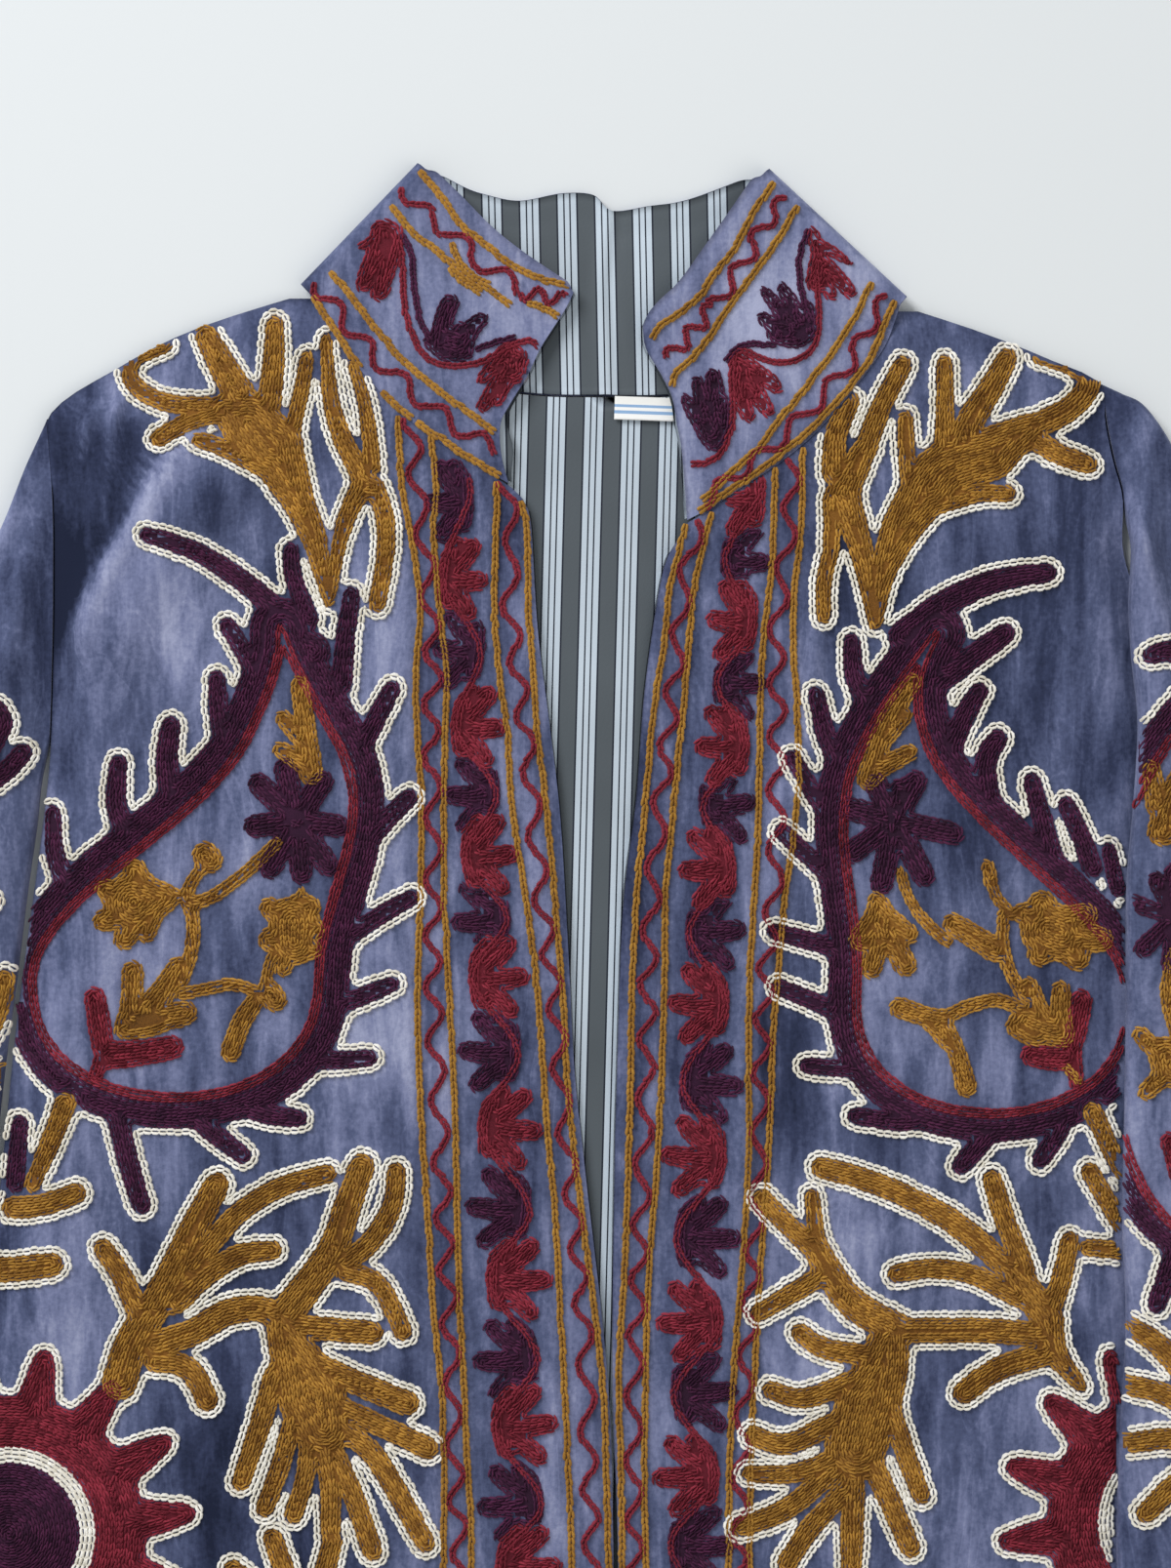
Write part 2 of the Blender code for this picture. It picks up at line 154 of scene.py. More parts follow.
def cotton_velvet():
    """Sheared cotton pile, 1 to 2 mm deep. It gives a soft matt face that goes pale where the pile
    leans towards the light, in patches of a hand's width down to streaks of a few millimetres."""
    mat = material("cotton_velvet")
    where = node(mat, "TexCoord").outputs["Object"]
    # The lay map holds the listed nap patches and, on the fronts, painted shade and highlight of creases and
    # of the armhole recess
    placed = node(mat, "SeparateXYZ", {0: node(mat, "UVMap", uv_map="lay").outputs[0]}).outputs["X"]
    drawn_out = node(mat, "Mapping", {"Vector": where}, Scale=(1.0, 0.3, 1.0)).outputs[0]
    far_out = node(mat, "Mapping", {"Vector": where}, Scale=(1.0, 0.14, 1.0)).outputs[0]
    # Noise of scale 14 has marks about 70 mm wide, 75 about 13 mm and 150 about 7 mm
    lay = node(mat, "TexNoise", {"Vector": drawn_out}, Scale=14.0, Detail=3.0, Roughness=0.5, Distortion=0.5)
    patch = node(mat, "TexNoise", {"Vector": drawn_out}, Scale=75.0, Detail=5.0, Roughness=0.65,
                 Distortion=0.3)
    streak = node(mat, "TexNoise", {"Vector": far_out}, Scale=150.0, Detail=3.0, Roughness=0.6)
    speck = node(mat, "TexNoise", {"Vector": where}, Scale=620.0, Detail=2.0)
    # Veins, where the pile was crushed, follow the lines on which a bent noise is at its middle
    bent = node(mat, "TexNoise", {"Vector": drawn_out}, Scale=38.0, Detail=2.0, Distortion=1.4)
    ridge = node(mat, "Math", {0: bent.outputs["Fac"]}, operation="SUBTRACT")
    ridge.inputs[1].default_value = 0.5
    crest = node(mat, "Math", {0: ridge.outputs[0]}, operation="ABSOLUTE")
    vein = node(mat, "MapRange", {"Value": crest.outputs[0]})
    for socket, value in (("From Max", 0.02), ("To Min", 0.04), ("To Max", 0.0)):
        vein.inputs[socket].default_value = value
    low = node(mat, "Math", {0: vein.outputs[0]}, operation="ADD")
    low.inputs[1].default_value = -0.645
    light = low.outputs[0]
    for source, share in (
        (speck.outputs["Fac"], 0.16), (streak.outputs["Fac"], 0.34), (placed, 0.66),
        (patch.outputs["Fac"], 0.6), (lay.outputs["Fac"], 0.5),
    ):
        more = node(mat, "Math", {0: source, 2: light}, operation="MULTIPLY_ADD")
        more.inputs[1].default_value = share
        light = more.outputs[0]
    colour = ramp(mat, light, (0.22, "#1b2136"), (0.37, "#343b56"), (0.50, "#525a79"),
                  (0.63, "#777d9e"), (0.82, "#a6aac5"))
    pile = node(mat, "TexNoise", {"Vector": where}, Scale=1500.0, Detail=2.0).outputs["Fac"]
    bump = node(mat, "Bump", {"Height": pile}, Strength=0.35, Distance=0.0004).outputs[0]
    shader = node(mat, "BsdfPrincipled", {"Base Color": colour, "Normal": bump}, Roughness=0.9)
    shader.inputs["Sheen Weight"].default_value = 0.35
    shader.inputs["Sheen Roughness"].default_value = 0.35
    shader.inputs["Sheen Tint"].default_value = linear("#c3c6dc")
    shader.inputs["Specular IOR Level"].default_value = 0.15
    return finish_with(mat, shader)


def mesh_object(name, verts, faces, mat, uv=None):
    """An object of a mesh given as arrays of points and of three- or four-cornered faces."""
    mesh = bpy.data.meshes.new(name)
    verts, faces = np.asarray(verts, np.float32).reshape(-1, 3), np.asarray(faces, np.int32)
    corners = faces.shape[1]
    mesh.vertices.add(len(verts))
    mesh.vertices.foreach_set("co", verts.ravel())
    mesh.loops.add(faces.size)
    mesh.loops.foreach_set("vertex_index", faces.ravel())
    mesh.polygons.add(len(faces))
    mesh.polygons.foreach_set("loop_start", np.arange(0, faces.size, corners, dtype=np.int32))
    mesh.polygons.foreach_set("loop_total", np.full(len(faces), corners, np.int32))
    mesh.polygons.foreach_set("use_smooth", np.ones(len(faces), bool))
    if uv is not None:
        at_corners = np.asarray(uv, np.float32)[faces.ravel()]
        mesh.uv_layers.new(name="lay").data.foreach_set("uv", at_corners.ravel())
    mesh.update()
    mesh.validate()
    mesh.materials.append(mat)
    obj = bpy.data.objects.new(name, mesh)
    bpy.context.scene.collection.objects.link(obj)
    return obj


# Where the pile lies lighter or darker, with painted shade in the right armhole's recess: out, down, half
# width out, half width down, by how much
NAP_AND_PAINTED_SHADE = (
    (-196, 70, 12, 34, -0.12), (-142, 84, 20, 18, -0.26), (-160, 128, 14, 22, 0.12),
    (-206, 126, 12, 50, -0.12), (-176, 140, 16, 26, 0.06), (-120, 118, 20, 20, -0.16),
    (-84, 112, 9, 26, 0.14), (-192, 172, 14, 26, -0.10), (-110, 172, 10, 30, -0.20),
    (-150, 222, 22, 14, 0.10), (-180, 262, 20, 18, 0.16), (-130, 262, 16, 14, -0.08),
    (-70, 210, 12, 40, -0.04), (-88, 290, 26, 24, 0.24), (-168, 330, 26, 20, 0.12),
    (-210, 300, 14, 30, 0.04), (-140, 372, 14, 12, -0.14), (-150, 440, 22, 30, -0.16),
    (-208, 392, 20, 14, 0.10), (-90, 395, 10, 26, 0.06), (-52, 160, 14, 70, 0.06), (-45, 330, 20, 90, 0.05),
    (-28, 200, 8, 80, 0.10), (-228, 84, 12, 30, 0.22), (-250, 150, 14, 40, 0.10), (-60, 4, 34, 34, 0.18),
    (64, 18, 36, 46, 0.34), (-94, 60, 12, 18, -0.10), (-136, 20, 22, 12, -0.14), (150, 20, 30, 10, -0.14),
    (178, 60, 14, 26, -0.14), (90, 110, 9, 50, -0.24), (122, 100, 18, 14, -0.04), (166, 134, 14, 34, -0.20),
    (172, 98, 14, 22, -0.14), (182, 170, 10, 34, 0.04), (120, 212, 22, 20, -0.10), (150, 236, 20, 14, 0.10),
    (112, 262, 12, 20, 0.12), (176, 262, 16, 14, -0.10), (146, 296, 22, 12, 0.08), (72, 292, 14, 34, -0.20),
    (92, 320, 22, 16, -0.20), (108, 358, 22, 12, 0.16), (168, 356, 10, 26, -0.18),
    (180, 410, 14, 24, -0.22), (78, 410, 14, 14, 0.16), (130, 450, 16, 26, 0.04), (46, 200, 20, 80, 0.04),
    (30, 330, 18, 90, 0.08), (214, 110, 10, 60, -0.06), (206, 260, 8, 60, 0.06), (60, 470, 20, 20, 0.06),
    (-60, 480, 26, 26, 0.05), (-200, 560, 40, 40, -0.12), (-110, 600, 40, 30, 0.12),
    (120, 560, 40, 40, -0.10), (190, 620, 40, 30, 0.10), (-320, 420, 30, 90, 0.10),
    (-290, 560, 40, 40, -0.14), (280, 340, 24, 70, 0.10), (270, 520, 40, 40, -0.12),
)


def nap_and_painted_shade_at(out, down):
    """How light the pile looks at places, from 0 to 1, the painted shade of the armhole recess included."""
    lay = np.full(np.shape(out), 0.5)
    for o, d, wide, tall, more in NAP_AND_PAINTED_SHADE:
        lay += more * np.exp(-((out - o) / wide) ** 2 - ((down - d) / tall) ** 2)
    return np.clip(lay, 0.0, 1.0)


def shell(name, top, under, mat, ring=False, shade=0.0):
    """Closed thin shell between two grids of points. A ring's long sides are joined, and shade is
    a change of the pile's lightness, which on the fronts is painted shade and highlight of creases and the
    armhole recess."""
    rows, cols = top.shape[:2]
    grid = np.arange(rows * cols).reshape(rows, cols)
    if ring:
        grid = np.concatenate((grid, grid[:, :1]), 1)
    low = grid + rows * cols

    def quads(g, flip):
        q = np.stack((g[:-1, :-1], g[1:, :-1], g[1:, 1:], g[:-1, 1:]), -1).reshape(-1, 4)
        return q[:, ::-1] if flip else q

    def rim(a, b, flip):
        q = np.stack((a[:-1], a[1:], b[1:], b[:-1]), -1)
        return q[:, ::-1] if flip else q

    faces = [quads(grid, False), quads(low, True), rim(grid[0], low[0], True),
             rim(grid[-1], low[-1], False)]
    if not ring:
        faces += [rim(grid[:, 0], low[:, 0], False), rim(grid[:, -1], low[:, -1], True)]
    verts = np.concatenate((top.reshape(-1, 3), under.reshape(-1, 3)))
    lay = nap_and_painted_shade_at(verts[:, 0] * 1000 + MIDDLE[0], MIDDLE[1] - verts[:, 1] * 1000)
    lay += np.tile(np.broadcast_to(shade, top.shape[:2]).ravel(), 2)
    return mesh_object(name, verts, np.concatenate(faces), mat, uv=np.stack((lay, 0 * lay), -1))


def smooth(t):
    """Eased step from 0 to 1."""
    t = np.clip(t, 0.0, 1.0)
    return t * t * (3.0 - 2.0 * t)


def at(points, down):
    """Distance out of a line at heights down the jacket."""
    line = bend(points)
    return np.interp(down, line[:, 1], line[:, 0])


def away(points, out, down):
    """Shortest distance in plan from places to a line through points."""
    best = np.full(np.shape(out), 1e9)
    for (o1, d1), (o2, d2) in zip(points, points[1:]):
        length = max(1e-9, (o2 - o1) ** 2 + (d2 - d1) ** 2)
        s = np.clip(((out - o1) * (o2 - o1) + (down - d1) * (d2 - d1)) / length, 0.0, 1.0)
        best = np.minimum(best, np.hypot(out - o1 - s * (o2 - o1), down - d1 - s * (d2 - d1)))
    return best


velvet = cotton_velvet()
BACK_TOP = 2.0
SEAM_IN = 0.35                 # from a side seam's line to the cloth, half a seam that shows


def flat_cloth(name, left, right, top_edge, downs, low, high, mat, columns=30):
    """A flat piece between two lines and a top edge, as a closed shell."""
    downs = np.asarray(downs, float)[:, None]
    share = np.linspace(0.0, 1.0, columns)[None, :]
    o0, o1 = at(left, downs), at(right, downs)
    out = o0 + (o1 - o0) * share
    down = np.maximum(downs, top_edge(out)) + 0.0 * share
    return shell(name, place(out, down, high), place(out, down, low), mat)


def back_top_line(shoulder, neck):
    """The back's upper edge: shoulder seams and back neck seam, each an inset further down."""
    line = bend(RIGHT_SIDE[3::-1][:-1] + BACK_NECK + LEFT_SIDE[1:4])
    return lambda out: (np.interp(out, line[:, 0], line[:, 1])
                        + np.interp(out, (-108, -98, 98, 108), (shoulder, neck, neck, shoulder)))


back = flat_cloth("back_velvet", [(o + SEAM_IN, d) for o, d in RIGHT_SIDE[3:]],
                  [(o - SEAM_IN, d) for o, d in LEFT_SIDE[3:]], back_top_line(3.0, 0.5),
                  np.linspace(2.0, HEM - 0.5, 66), 0.1, BACK_TOP - 0.1, velvet, 60)
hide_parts("back")
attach(back, "root")

# Back lining. Plain-woven grey cotton with groups of three white stripes between fine navy
# lines, cut straight and sewn in smooth, so its stripes run almost straight down the jacket.
STRIPE_REPEAT = 14.3


def striped_cotton(name, lean, shift):
    """Plain-woven grey cotton with crisp pale stripes in threes, darker in soft random blotches. Lean
    is how far they drift out per millimetre down, and shift is the part of a repeat that they start at."""
    mat = material(name)
    where = node(mat, "TexCoord").outputs["Object"]
    part = node(mat, "SeparateXYZ", {0: where})
    slid = node(mat, "Math", {0: part.outputs["Y"]}, operation="MULTIPLY")
    slid.inputs[1].default_value = lean
    across = node(mat, "Math", {0: part.outputs["X"], 1: slid.outputs[0]}, operation="ADD")
    repeat = node(mat, "Math", {0: across.outputs[0]}, operation="MULTIPLY_ADD")
    repeat.inputs[1].default_value = 1000.0 / STRIPE_REPEAT
    repeat.inputs[2].default_value = shift
    share = node(mat, "Math", {0: repeat.outputs[0]}, operation="FRACT").outputs[0]
    pale, navy, grey = "#c6d2dc", "#171e2d", "#545b60"
    stripes = ramp(mat, share, (0.0, navy), (0.045, pale), (0.185, navy), (0.225, pale), (0.345, navy),
                   (0.385, pale), (0.53, navy), (0.575, grey), stepped=True)
    yarn = node(mat, "TexNoise", {"Vector": where}, Scale=900.0, Detail=2.0).outputs["Fac"]
    shade = node(mat, "TexNoise", {"Vector": where}, Scale=18.0, Detail=3.0).outputs["Fac"]
    blotched = node(mat, "Mix", data_type="RGBA", blend_type="MULTIPLY")
    blotched.inputs["Factor"].default_value = 0.35
    mat.node_tree.links.new(stripes, blotched.inputs["A"])
    mat.node_tree.links.new(ramp(mat, shade, (0.3, "#b8b8b8"), (0.7, "#ffffff")), blotched.inputs["B"])
    bump = node(mat, "Bump", {"Height": yarn}, Strength=0.25, Distance=0.0003).outputs[0]
    shader = node(mat, "BsdfPrincipled", {"Base Color": blotched.outputs["Result"], "Normal": bump},
                  Roughness=0.62)
    shader.inputs["Specular IOR Level"].default_value = 0.3
    return finish_with(mat, shader)


LINING_LOW, LINING_TOP = 2.3, 3.3
lining_cotton = striped_cotton("striped_lining_cotton", -0.0255, 0.30)
INSET = 12.0
lining_right = [(o + INSET, d) for o, d in RIGHT_SIDE[3:]]
lining_left = [(o - INSET, d) for o, d in LEFT_SIDE[3:]]
back_lining = flat_cloth("back_lining_cotton", lining_right, lining_left, back_top_line(6.0, 0.6),
                         np.linspace(8.0, HEM - 14.0, 66), LINING_LOW + 0.1, LINING_TOP, lining_cotton, 60)
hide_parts("back_lining")
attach(back_lining, "root")

# Facings. A strip of the same striped cotton inside each front edge, rolled half a millimetre
# past the velvet, so that it shows as a fine pale edge.
RIGHT_EDGE = (
    (-35.5, 74.5), (-29.2, 80.3), (-27.4, 87.0), (-26.6, 94.3), (-24.4, 129.9), (-20.0, 165.0),
    (-15.9, 200.5), (-12.9, 250.1), (-10.4, 297.9), (-6.3, 336.0), (2.2, 415.1), (4.4, 485.4), (6.3, HEM),
)
LEFT_EDGE = (
    (32.2, 88.8), (27.8, 96.2), (22.6, 109.2), (16.3, 151.0), (12.9, 193.5), (7.8, 236.1), (5.6, 297.9),
    (4.6, 336.0), (3.9, 415.1), (6.1, 485.4), (8.0, HEM),
)
FACING_WIDTH, FACING_LOW, FACING_TOP, ROLLED_OUT = 17.5, 3.7, 4.6, 0.45
for side, edge, way in (("right", RIGHT_EDGE, 1.0), ("left", LEFT_EDGE, -1.0)):
    downs = np.linspace(edge[1][1] + 4.0, HEM - 17.0, 180)[:, None]
    share = np.linspace(0.0, 1.0, 6)[None, :]
    if way > 0:
        out = at(edge, downs) + ROLLED_OUT - FACING_WIDTH * (1.0 - share)
    else:
        out = at(edge, downs) - ROLLED_OUT + FACING_WIDTH * share
    down = downs + 0.0 * share
    facing = shell(side + "_facing_cotton", place(out, down, FACING_TOP), place(out, down, FACING_LOW),
                   lining_cotton)
    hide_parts(side + "_facing")
    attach(facing, "root")

# Fronts. Velvet, each cut with its armhole and neck curve and sewn to the back; soft, so they
# roll at the armhole, ridge beside the border and ripple a little towards the hem.
RIGHT_NECK = (
    (-111.4, 1.1), (-105.4, 12.4), (-96.6, 25.4), (-87.0, 36.4), (-78.4, 45.6), (-68.1, 54.2),
    (-57.0, 62.0), (-46.2, 68.6), (-35.5, 74.5),
)
LEFT_NECK = (
    (113.0, 6.0), (107.6, 21.1), (99.9, 32.6), (89.5, 45.9), (78.4, 57.7), (65.5, 68.1),
    (52.9, 76.3), (43.7, 82.6), (32.2, 88.8),
)
VELVET, FRONT_Z, ARMHOLE_Z, NECK_Z, ROUND_OVER = 1.9, 5.0, 4.2, 6.4, 15.0
# Swells of the solid's own form: start out and down, end out and down, half width, height
SWELLS = (
    (-143.0, 66.0, -187.0, 132.0, 17.0, 6.0), (-176.0, 52.0, -189.0, 84.0, 4.5, 2.2),
    (-193.0, 52.0, -199.0, 78.0, 4.5, 1.8), (-191.0, 160.0, -208.0, 380.0, 20.0, 3.2),
    (-120.0, 150.0, -128.0, 330.0, 26.0, 1.2), (-92.0, 400.0, -98.0, 640.0, 20.0, 1.5),
    (-180.0, 430.0, -196.0, 640.0, 20.0, 1.5), (128.0, 120.0, 132.0, 330.0, 26.0, 1.3),
    (176.0, 70.0, 186.0, 250.0, 14.0, 1.0), (92.0, 390.0, 96.0, 640.0, 20.0, 1.5),
    (160.0, 430.0, 172.0, 640.0, 18.0, 1.2),
)
# Creases over them: start, middle and end out and down, half width, height (- is a trough)
RIGHT_CREASES = (
    (-184, 44, -186, 62, -189, 90, 2.8, 3.6), (-195, 50, -200, 68, -203, 92, 2.6, 3.0),
    (-172, 58, -176, 68, -180, 80, 2.4, 1.6), (-206, 150, -207, 175, -209, 210, 4.0, -1.6),
    (-150, 110, -154, 130, -160, 160, 7, 0.9), (-132, 90, -140, 120, -144, 150, 5, 0.7),
    (-140, 300, -150, 350, -148, 400, 9, -0.9), (-78, 120, -80, 190, -84, 250, 8, 0.8),
    (-196, 190, -204, 230, -206, 260, 6, -1.0), (-60, 330, -62, 420, -58, 520, 7, 0.7),
    (-30, 110, -26, 180, -20, 260, 7, 0.9), (-150, 430, -146, 500, -150, 600, 12, -1.0),
)
LEFT_CREASES = (
    (187, 45, 196, 84, 199, 118, 5, -1.0), (176, 40, 184, 62, 190, 96, 6, 0.9),
    (150, 84, 160, 110, 176, 140, 9, 0.9), (168, 140, 172, 165, 184, 190, 6, -0.8),
    (44, 130, 40, 190, 36, 260, 8, 0.7), (140, 320, 150, 350, 150, 400, 9, -0.8),
    (110, 240, 108, 330, 112, 380, 10, -0.5), (80, 520, 84, 570, 82, 630, 12, 1.0),
)
# Fold of the left border strip over the panel beside it
BORDER_FOLD = (
    (84, 112), (83, 130), (82, 143), (79, 164), (75, 185), (70, 206), (67, 223), (63, 244), (61, 265),
    (59, 287), (57.5, 308), (55.5, 329), (54, 360), (53, 400), (52, 470),
)
# Edge of the right front where it rolls over a deep recess beside the armhole
ROLL_EDGE = ((-157, 50), (-170, 70), (-180, 88), (-190, 104), (-198, 120), (-205, 138), (-208, 150))
# Rise of the roll's edge, and painted shade over the recess: its amount, and how much more towards the
# recess's lower end
ROLL_RISE, RECESS_PAINTED_SHADE = 3.8, (3.0, 3.5)
BORDER_FOLD_RISE = 2.6
HIGHEST = {"right": 11.5, "left": 6.9}     # of a front's underside, before its creases
LOWEST_TROUGH = 4.8                        # clear of the facings
SET_IN = {"right": (49.2, 172.0), "left": (35.9, 92.0)}    # how far down a sleeve's seam starts and ends


def gather_creases(creases, out, down):
    """Height that soft ridges and troughs add at places."""
    up = np.zeros(np.shape(out))
    for o1, d1, o2, d2, o3, d3, width, height in creases:
        line = bend(((o1, d1), (o2, d2), (o3, d3)), 12.0)
        reach = away(line, out, down) / width
        up += height * np.exp(-reach**2)
    return up


def front_up(side, out, down):
    """How far creases lift or sink a front, for its painted highlight and shade, less the painted shade of
    its armhole recess; and the height of its underside with them.
    """
    right = side == "right"
    seam_line, neck = (RIGHT_SIDE, RIGHT_NECK) if right else (LEFT_SIDE, LEFT_NECK)
    first, last = SET_IN[side]
    up = np.full(np.shape(out), FRONT_Z)
    for o1, d1, o2, d2, width, height in SWELLS:
        up += height * np.exp(-(away(((o1, d1), (o2, d2)), out, down) / width) ** 2)
    up += (NECK_Z - FRONT_Z) * (1.0 - smooth(away(neck, out, down) / 24.0))
    up = np.minimum(up, HIGHEST[side])
    more = gather_creases(RIGHT_CREASES if right else LEFT_CREASES, out, down)
    dark = 0.0
    if right:
        past = at(ROLL_EDGE, np.clip(down, 50, 150)) - out
        here = smooth((down - 44) / 14) * (1.0 - smooth((down - 128) / 22))
        sunk = smooth(past / 4.0) * here
        up -= np.maximum(up - FRONT_Z, 0.0) * sunk
        more += ROLL_RISE * np.exp(-((past + 4.5) / 5.5) ** 2) * here
        # Painted shade on the pile over the recess, deeper towards its lower end
        dark = sunk * (RECESS_PAINTED_SHADE[0] + RECESS_PAINTED_SHADE[1] * smooth((down - 75) / 35))
    else:
        beside = out - at(BORDER_FOLD, np.clip(down, 112, 470))
        share = smooth((down - 100) / 30) * (1.0 - smooth((down - 330) / 120))
        more += share * BORDER_FOLD_RISE * np.exp(-(beside / np.where(beside < 0, 9.0, 1.6)) ** 2)
    set_in = smooth((down - first + 8.0) / 10.0) * smooth((last + 12.0 - down) / 24.0)
    low = BACK_TOP + 0.3
    seam = low + (ARMHOLE_Z - low) * set_in
    to_seam = smooth(np.minimum(away(seam_line, out, down), HEM - down) / ROUND_OVER)
    plain = seam + (up - seam) * to_seam
    if not right:
        past = at(LEFT_SLEEVE_INNER, down)
        more *= smooth((past - 1.0 - out) / 8.0)
    lowest = np.minimum(plain, LOWEST_TROUGH)
    return more * to_seam - dark, np.maximum(lowest, plain + more * to_seam) + 0.2


# Inner edge of the left sleeve, which hides the front beyond it
LEFT_SLEEVE_INNER = (
    (260, 0), (260, 60), (199.7, 80.5), (199.8, 92.0), (199.8, 103.0), (198.7, 120.0), (199.6, 140.0),
    (202.0, 165.0), (200.5, 195.0), (197.8, 228.0), (197.6, 272.0), (196.8, 320.0), (196.2, 355.0),
    (197.5, 392.0), (195.0, 440.0), (194.5, 490.0), (201.0, 550.0), (213.0, 607.0), (213, 700),
)
carriers = {}
for side, line, neck, edge, way in (
    ("right", RIGHT_SIDE, RIGHT_NECK, RIGHT_EDGE, -1.0), ("left", LEFT_SIDE, LEFT_NECK, LEFT_EDGE, 1.0),
):
    down = np.concatenate(([neck[0][1] + 2.4], np.arange(neck[0][1] + 5.0, HEM - 18.0, 4.1),
                           HEM - np.array([15, 12, 9, 6.5, 4.5, 3.0, 1.5, 0.6, 0.0])))[:, None]
    share = np.concatenate((np.array([0.0, 0.004, 0.009, 0.016, 0.026]), np.linspace(0.037, 0.985, 66),
                            np.array([0.992, 0.997, 1.0])))[None, :]
    start = at(line, down) - way * SEAM_IN
    neck_end = neck[-1][1]
    sewn = 0.7 * smooth((down - neck_end + 4.0) / 8.0) * smooth((neck_end + 12.0 - down) / 8.0)
    sewn = sewn - 0.6 * (down < neck_end - 4.0)     # goes on a little under the collar
    stop = at(neck[:-1] + edge, down) + way * sewn
    out = start + (stop - start) * share
    more, top = front_up(side, out, down + 0.0 * share)
    droop = smooth(np.abs(out - stop) / 3.0) * 0.5 + 0.5
    grid_top = place(out, down + 0.0 * share, top + VELVET * (0.55 + 0.45 * droop))
    grid_under = place(out, down + 0.0 * share, top)
    if way > 0:
        grid_top, grid_under, more = grid_top[:, ::-1], grid_under[:, ::-1], more[:, ::-1]
    # The pile is painted lighter on ridges and darker in troughs and in the armhole recess: painted highlight
    # and painted shade
    front = shell(side + "_front_velvet", grid_top, grid_under, velvet, shade=0.06 * more)
    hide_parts(side + "_front")
    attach(front, "root")
    carriers[side + "_front"] = front

# Stand collar. Velvet outside and striped cotton inside, cut as one band, sewn to the neck; its
# ends lie open to the front and its back lies on the table with the lining up.
# Edges of the band: its top at the back and at each front, and its two front ends
BACK_TOP_EDGE = (
    (-65.5, -46.6), (-52.9, -39.6), (-44.4, -36.6), (-31.4, -34.2), (-15.5, -37.0), (-3.3, -36.4),
    (3.7, -30.4), (18.1, -32.2), (33.3, -34.8), (58.8, -44.4),
)
RIGHT_COLLAR_TOP = (
    (-10.0, -0.4), (-20.4, -7.0), (-32.2, -15.2), (-42.5, -23.7), (-53.6, -35.0), (-65.5, -46.6),
)
LEFT_COLLAR_TOP = (
    (15.5, 12.2), (21.1, 5.5), (29.2, -2.4), (38.5, -15.2), (48.7, -29.6), (58.8, -44.4),
)
RIGHT_COLLAR_END = (
    (-35.5, 74.0), (-38.3, 62.9), (-38.6, 51.8), (-35.4, 45.0), (-28.1, 33.0), (-22.9, 22.2),
    (-13.7, 7.8), (-10.0, -0.4),
)
LEFT_COLLAR_END = (
    (32.2, 88.0), (30.3, 62.9), (28.3, 51.8), (26.6, 41.8), (22.2, 32.6), (16.3, 22.2), (15.5, 12.2),
)


def along(points, share):
    """Points at shares of a line's length."""
    line = bend(points, 1.0)
    reach = np.concatenate(([0.0], np.cumsum(np.linalg.norm(np.diff(line, axis=0), axis=1))))
    t = np.clip(share, 0.0, 1.0) * reach[-1]
    return np.stack((np.interp(t, reach, line[:, 0]), np.interp(t, reach, line[:, 1])), -1)


def patch(s, t, bottom, top, start, end):
    """Points between four edges, s along the neck and t from the seam up."""
    b, u, w, e = along(bottom, s), along(top, s), along(start, t), along(end, t)
    s, t = s[..., None], t[..., None]
    corners = (along(bottom, 0.0) * (1 - s) * (1 - t) + along(bottom, 1.0) * s * (1 - t)
               + along(top, 0.0) * (1 - s) * t + along(top, 1.0) * s * t)
    return b * (1 - t) + u * t + w * (1 - s) + e * s - corners


COLLAR_TALL = 66.0
CORNER = 0.035                 # share of the collar's height by which a corner is rounded off


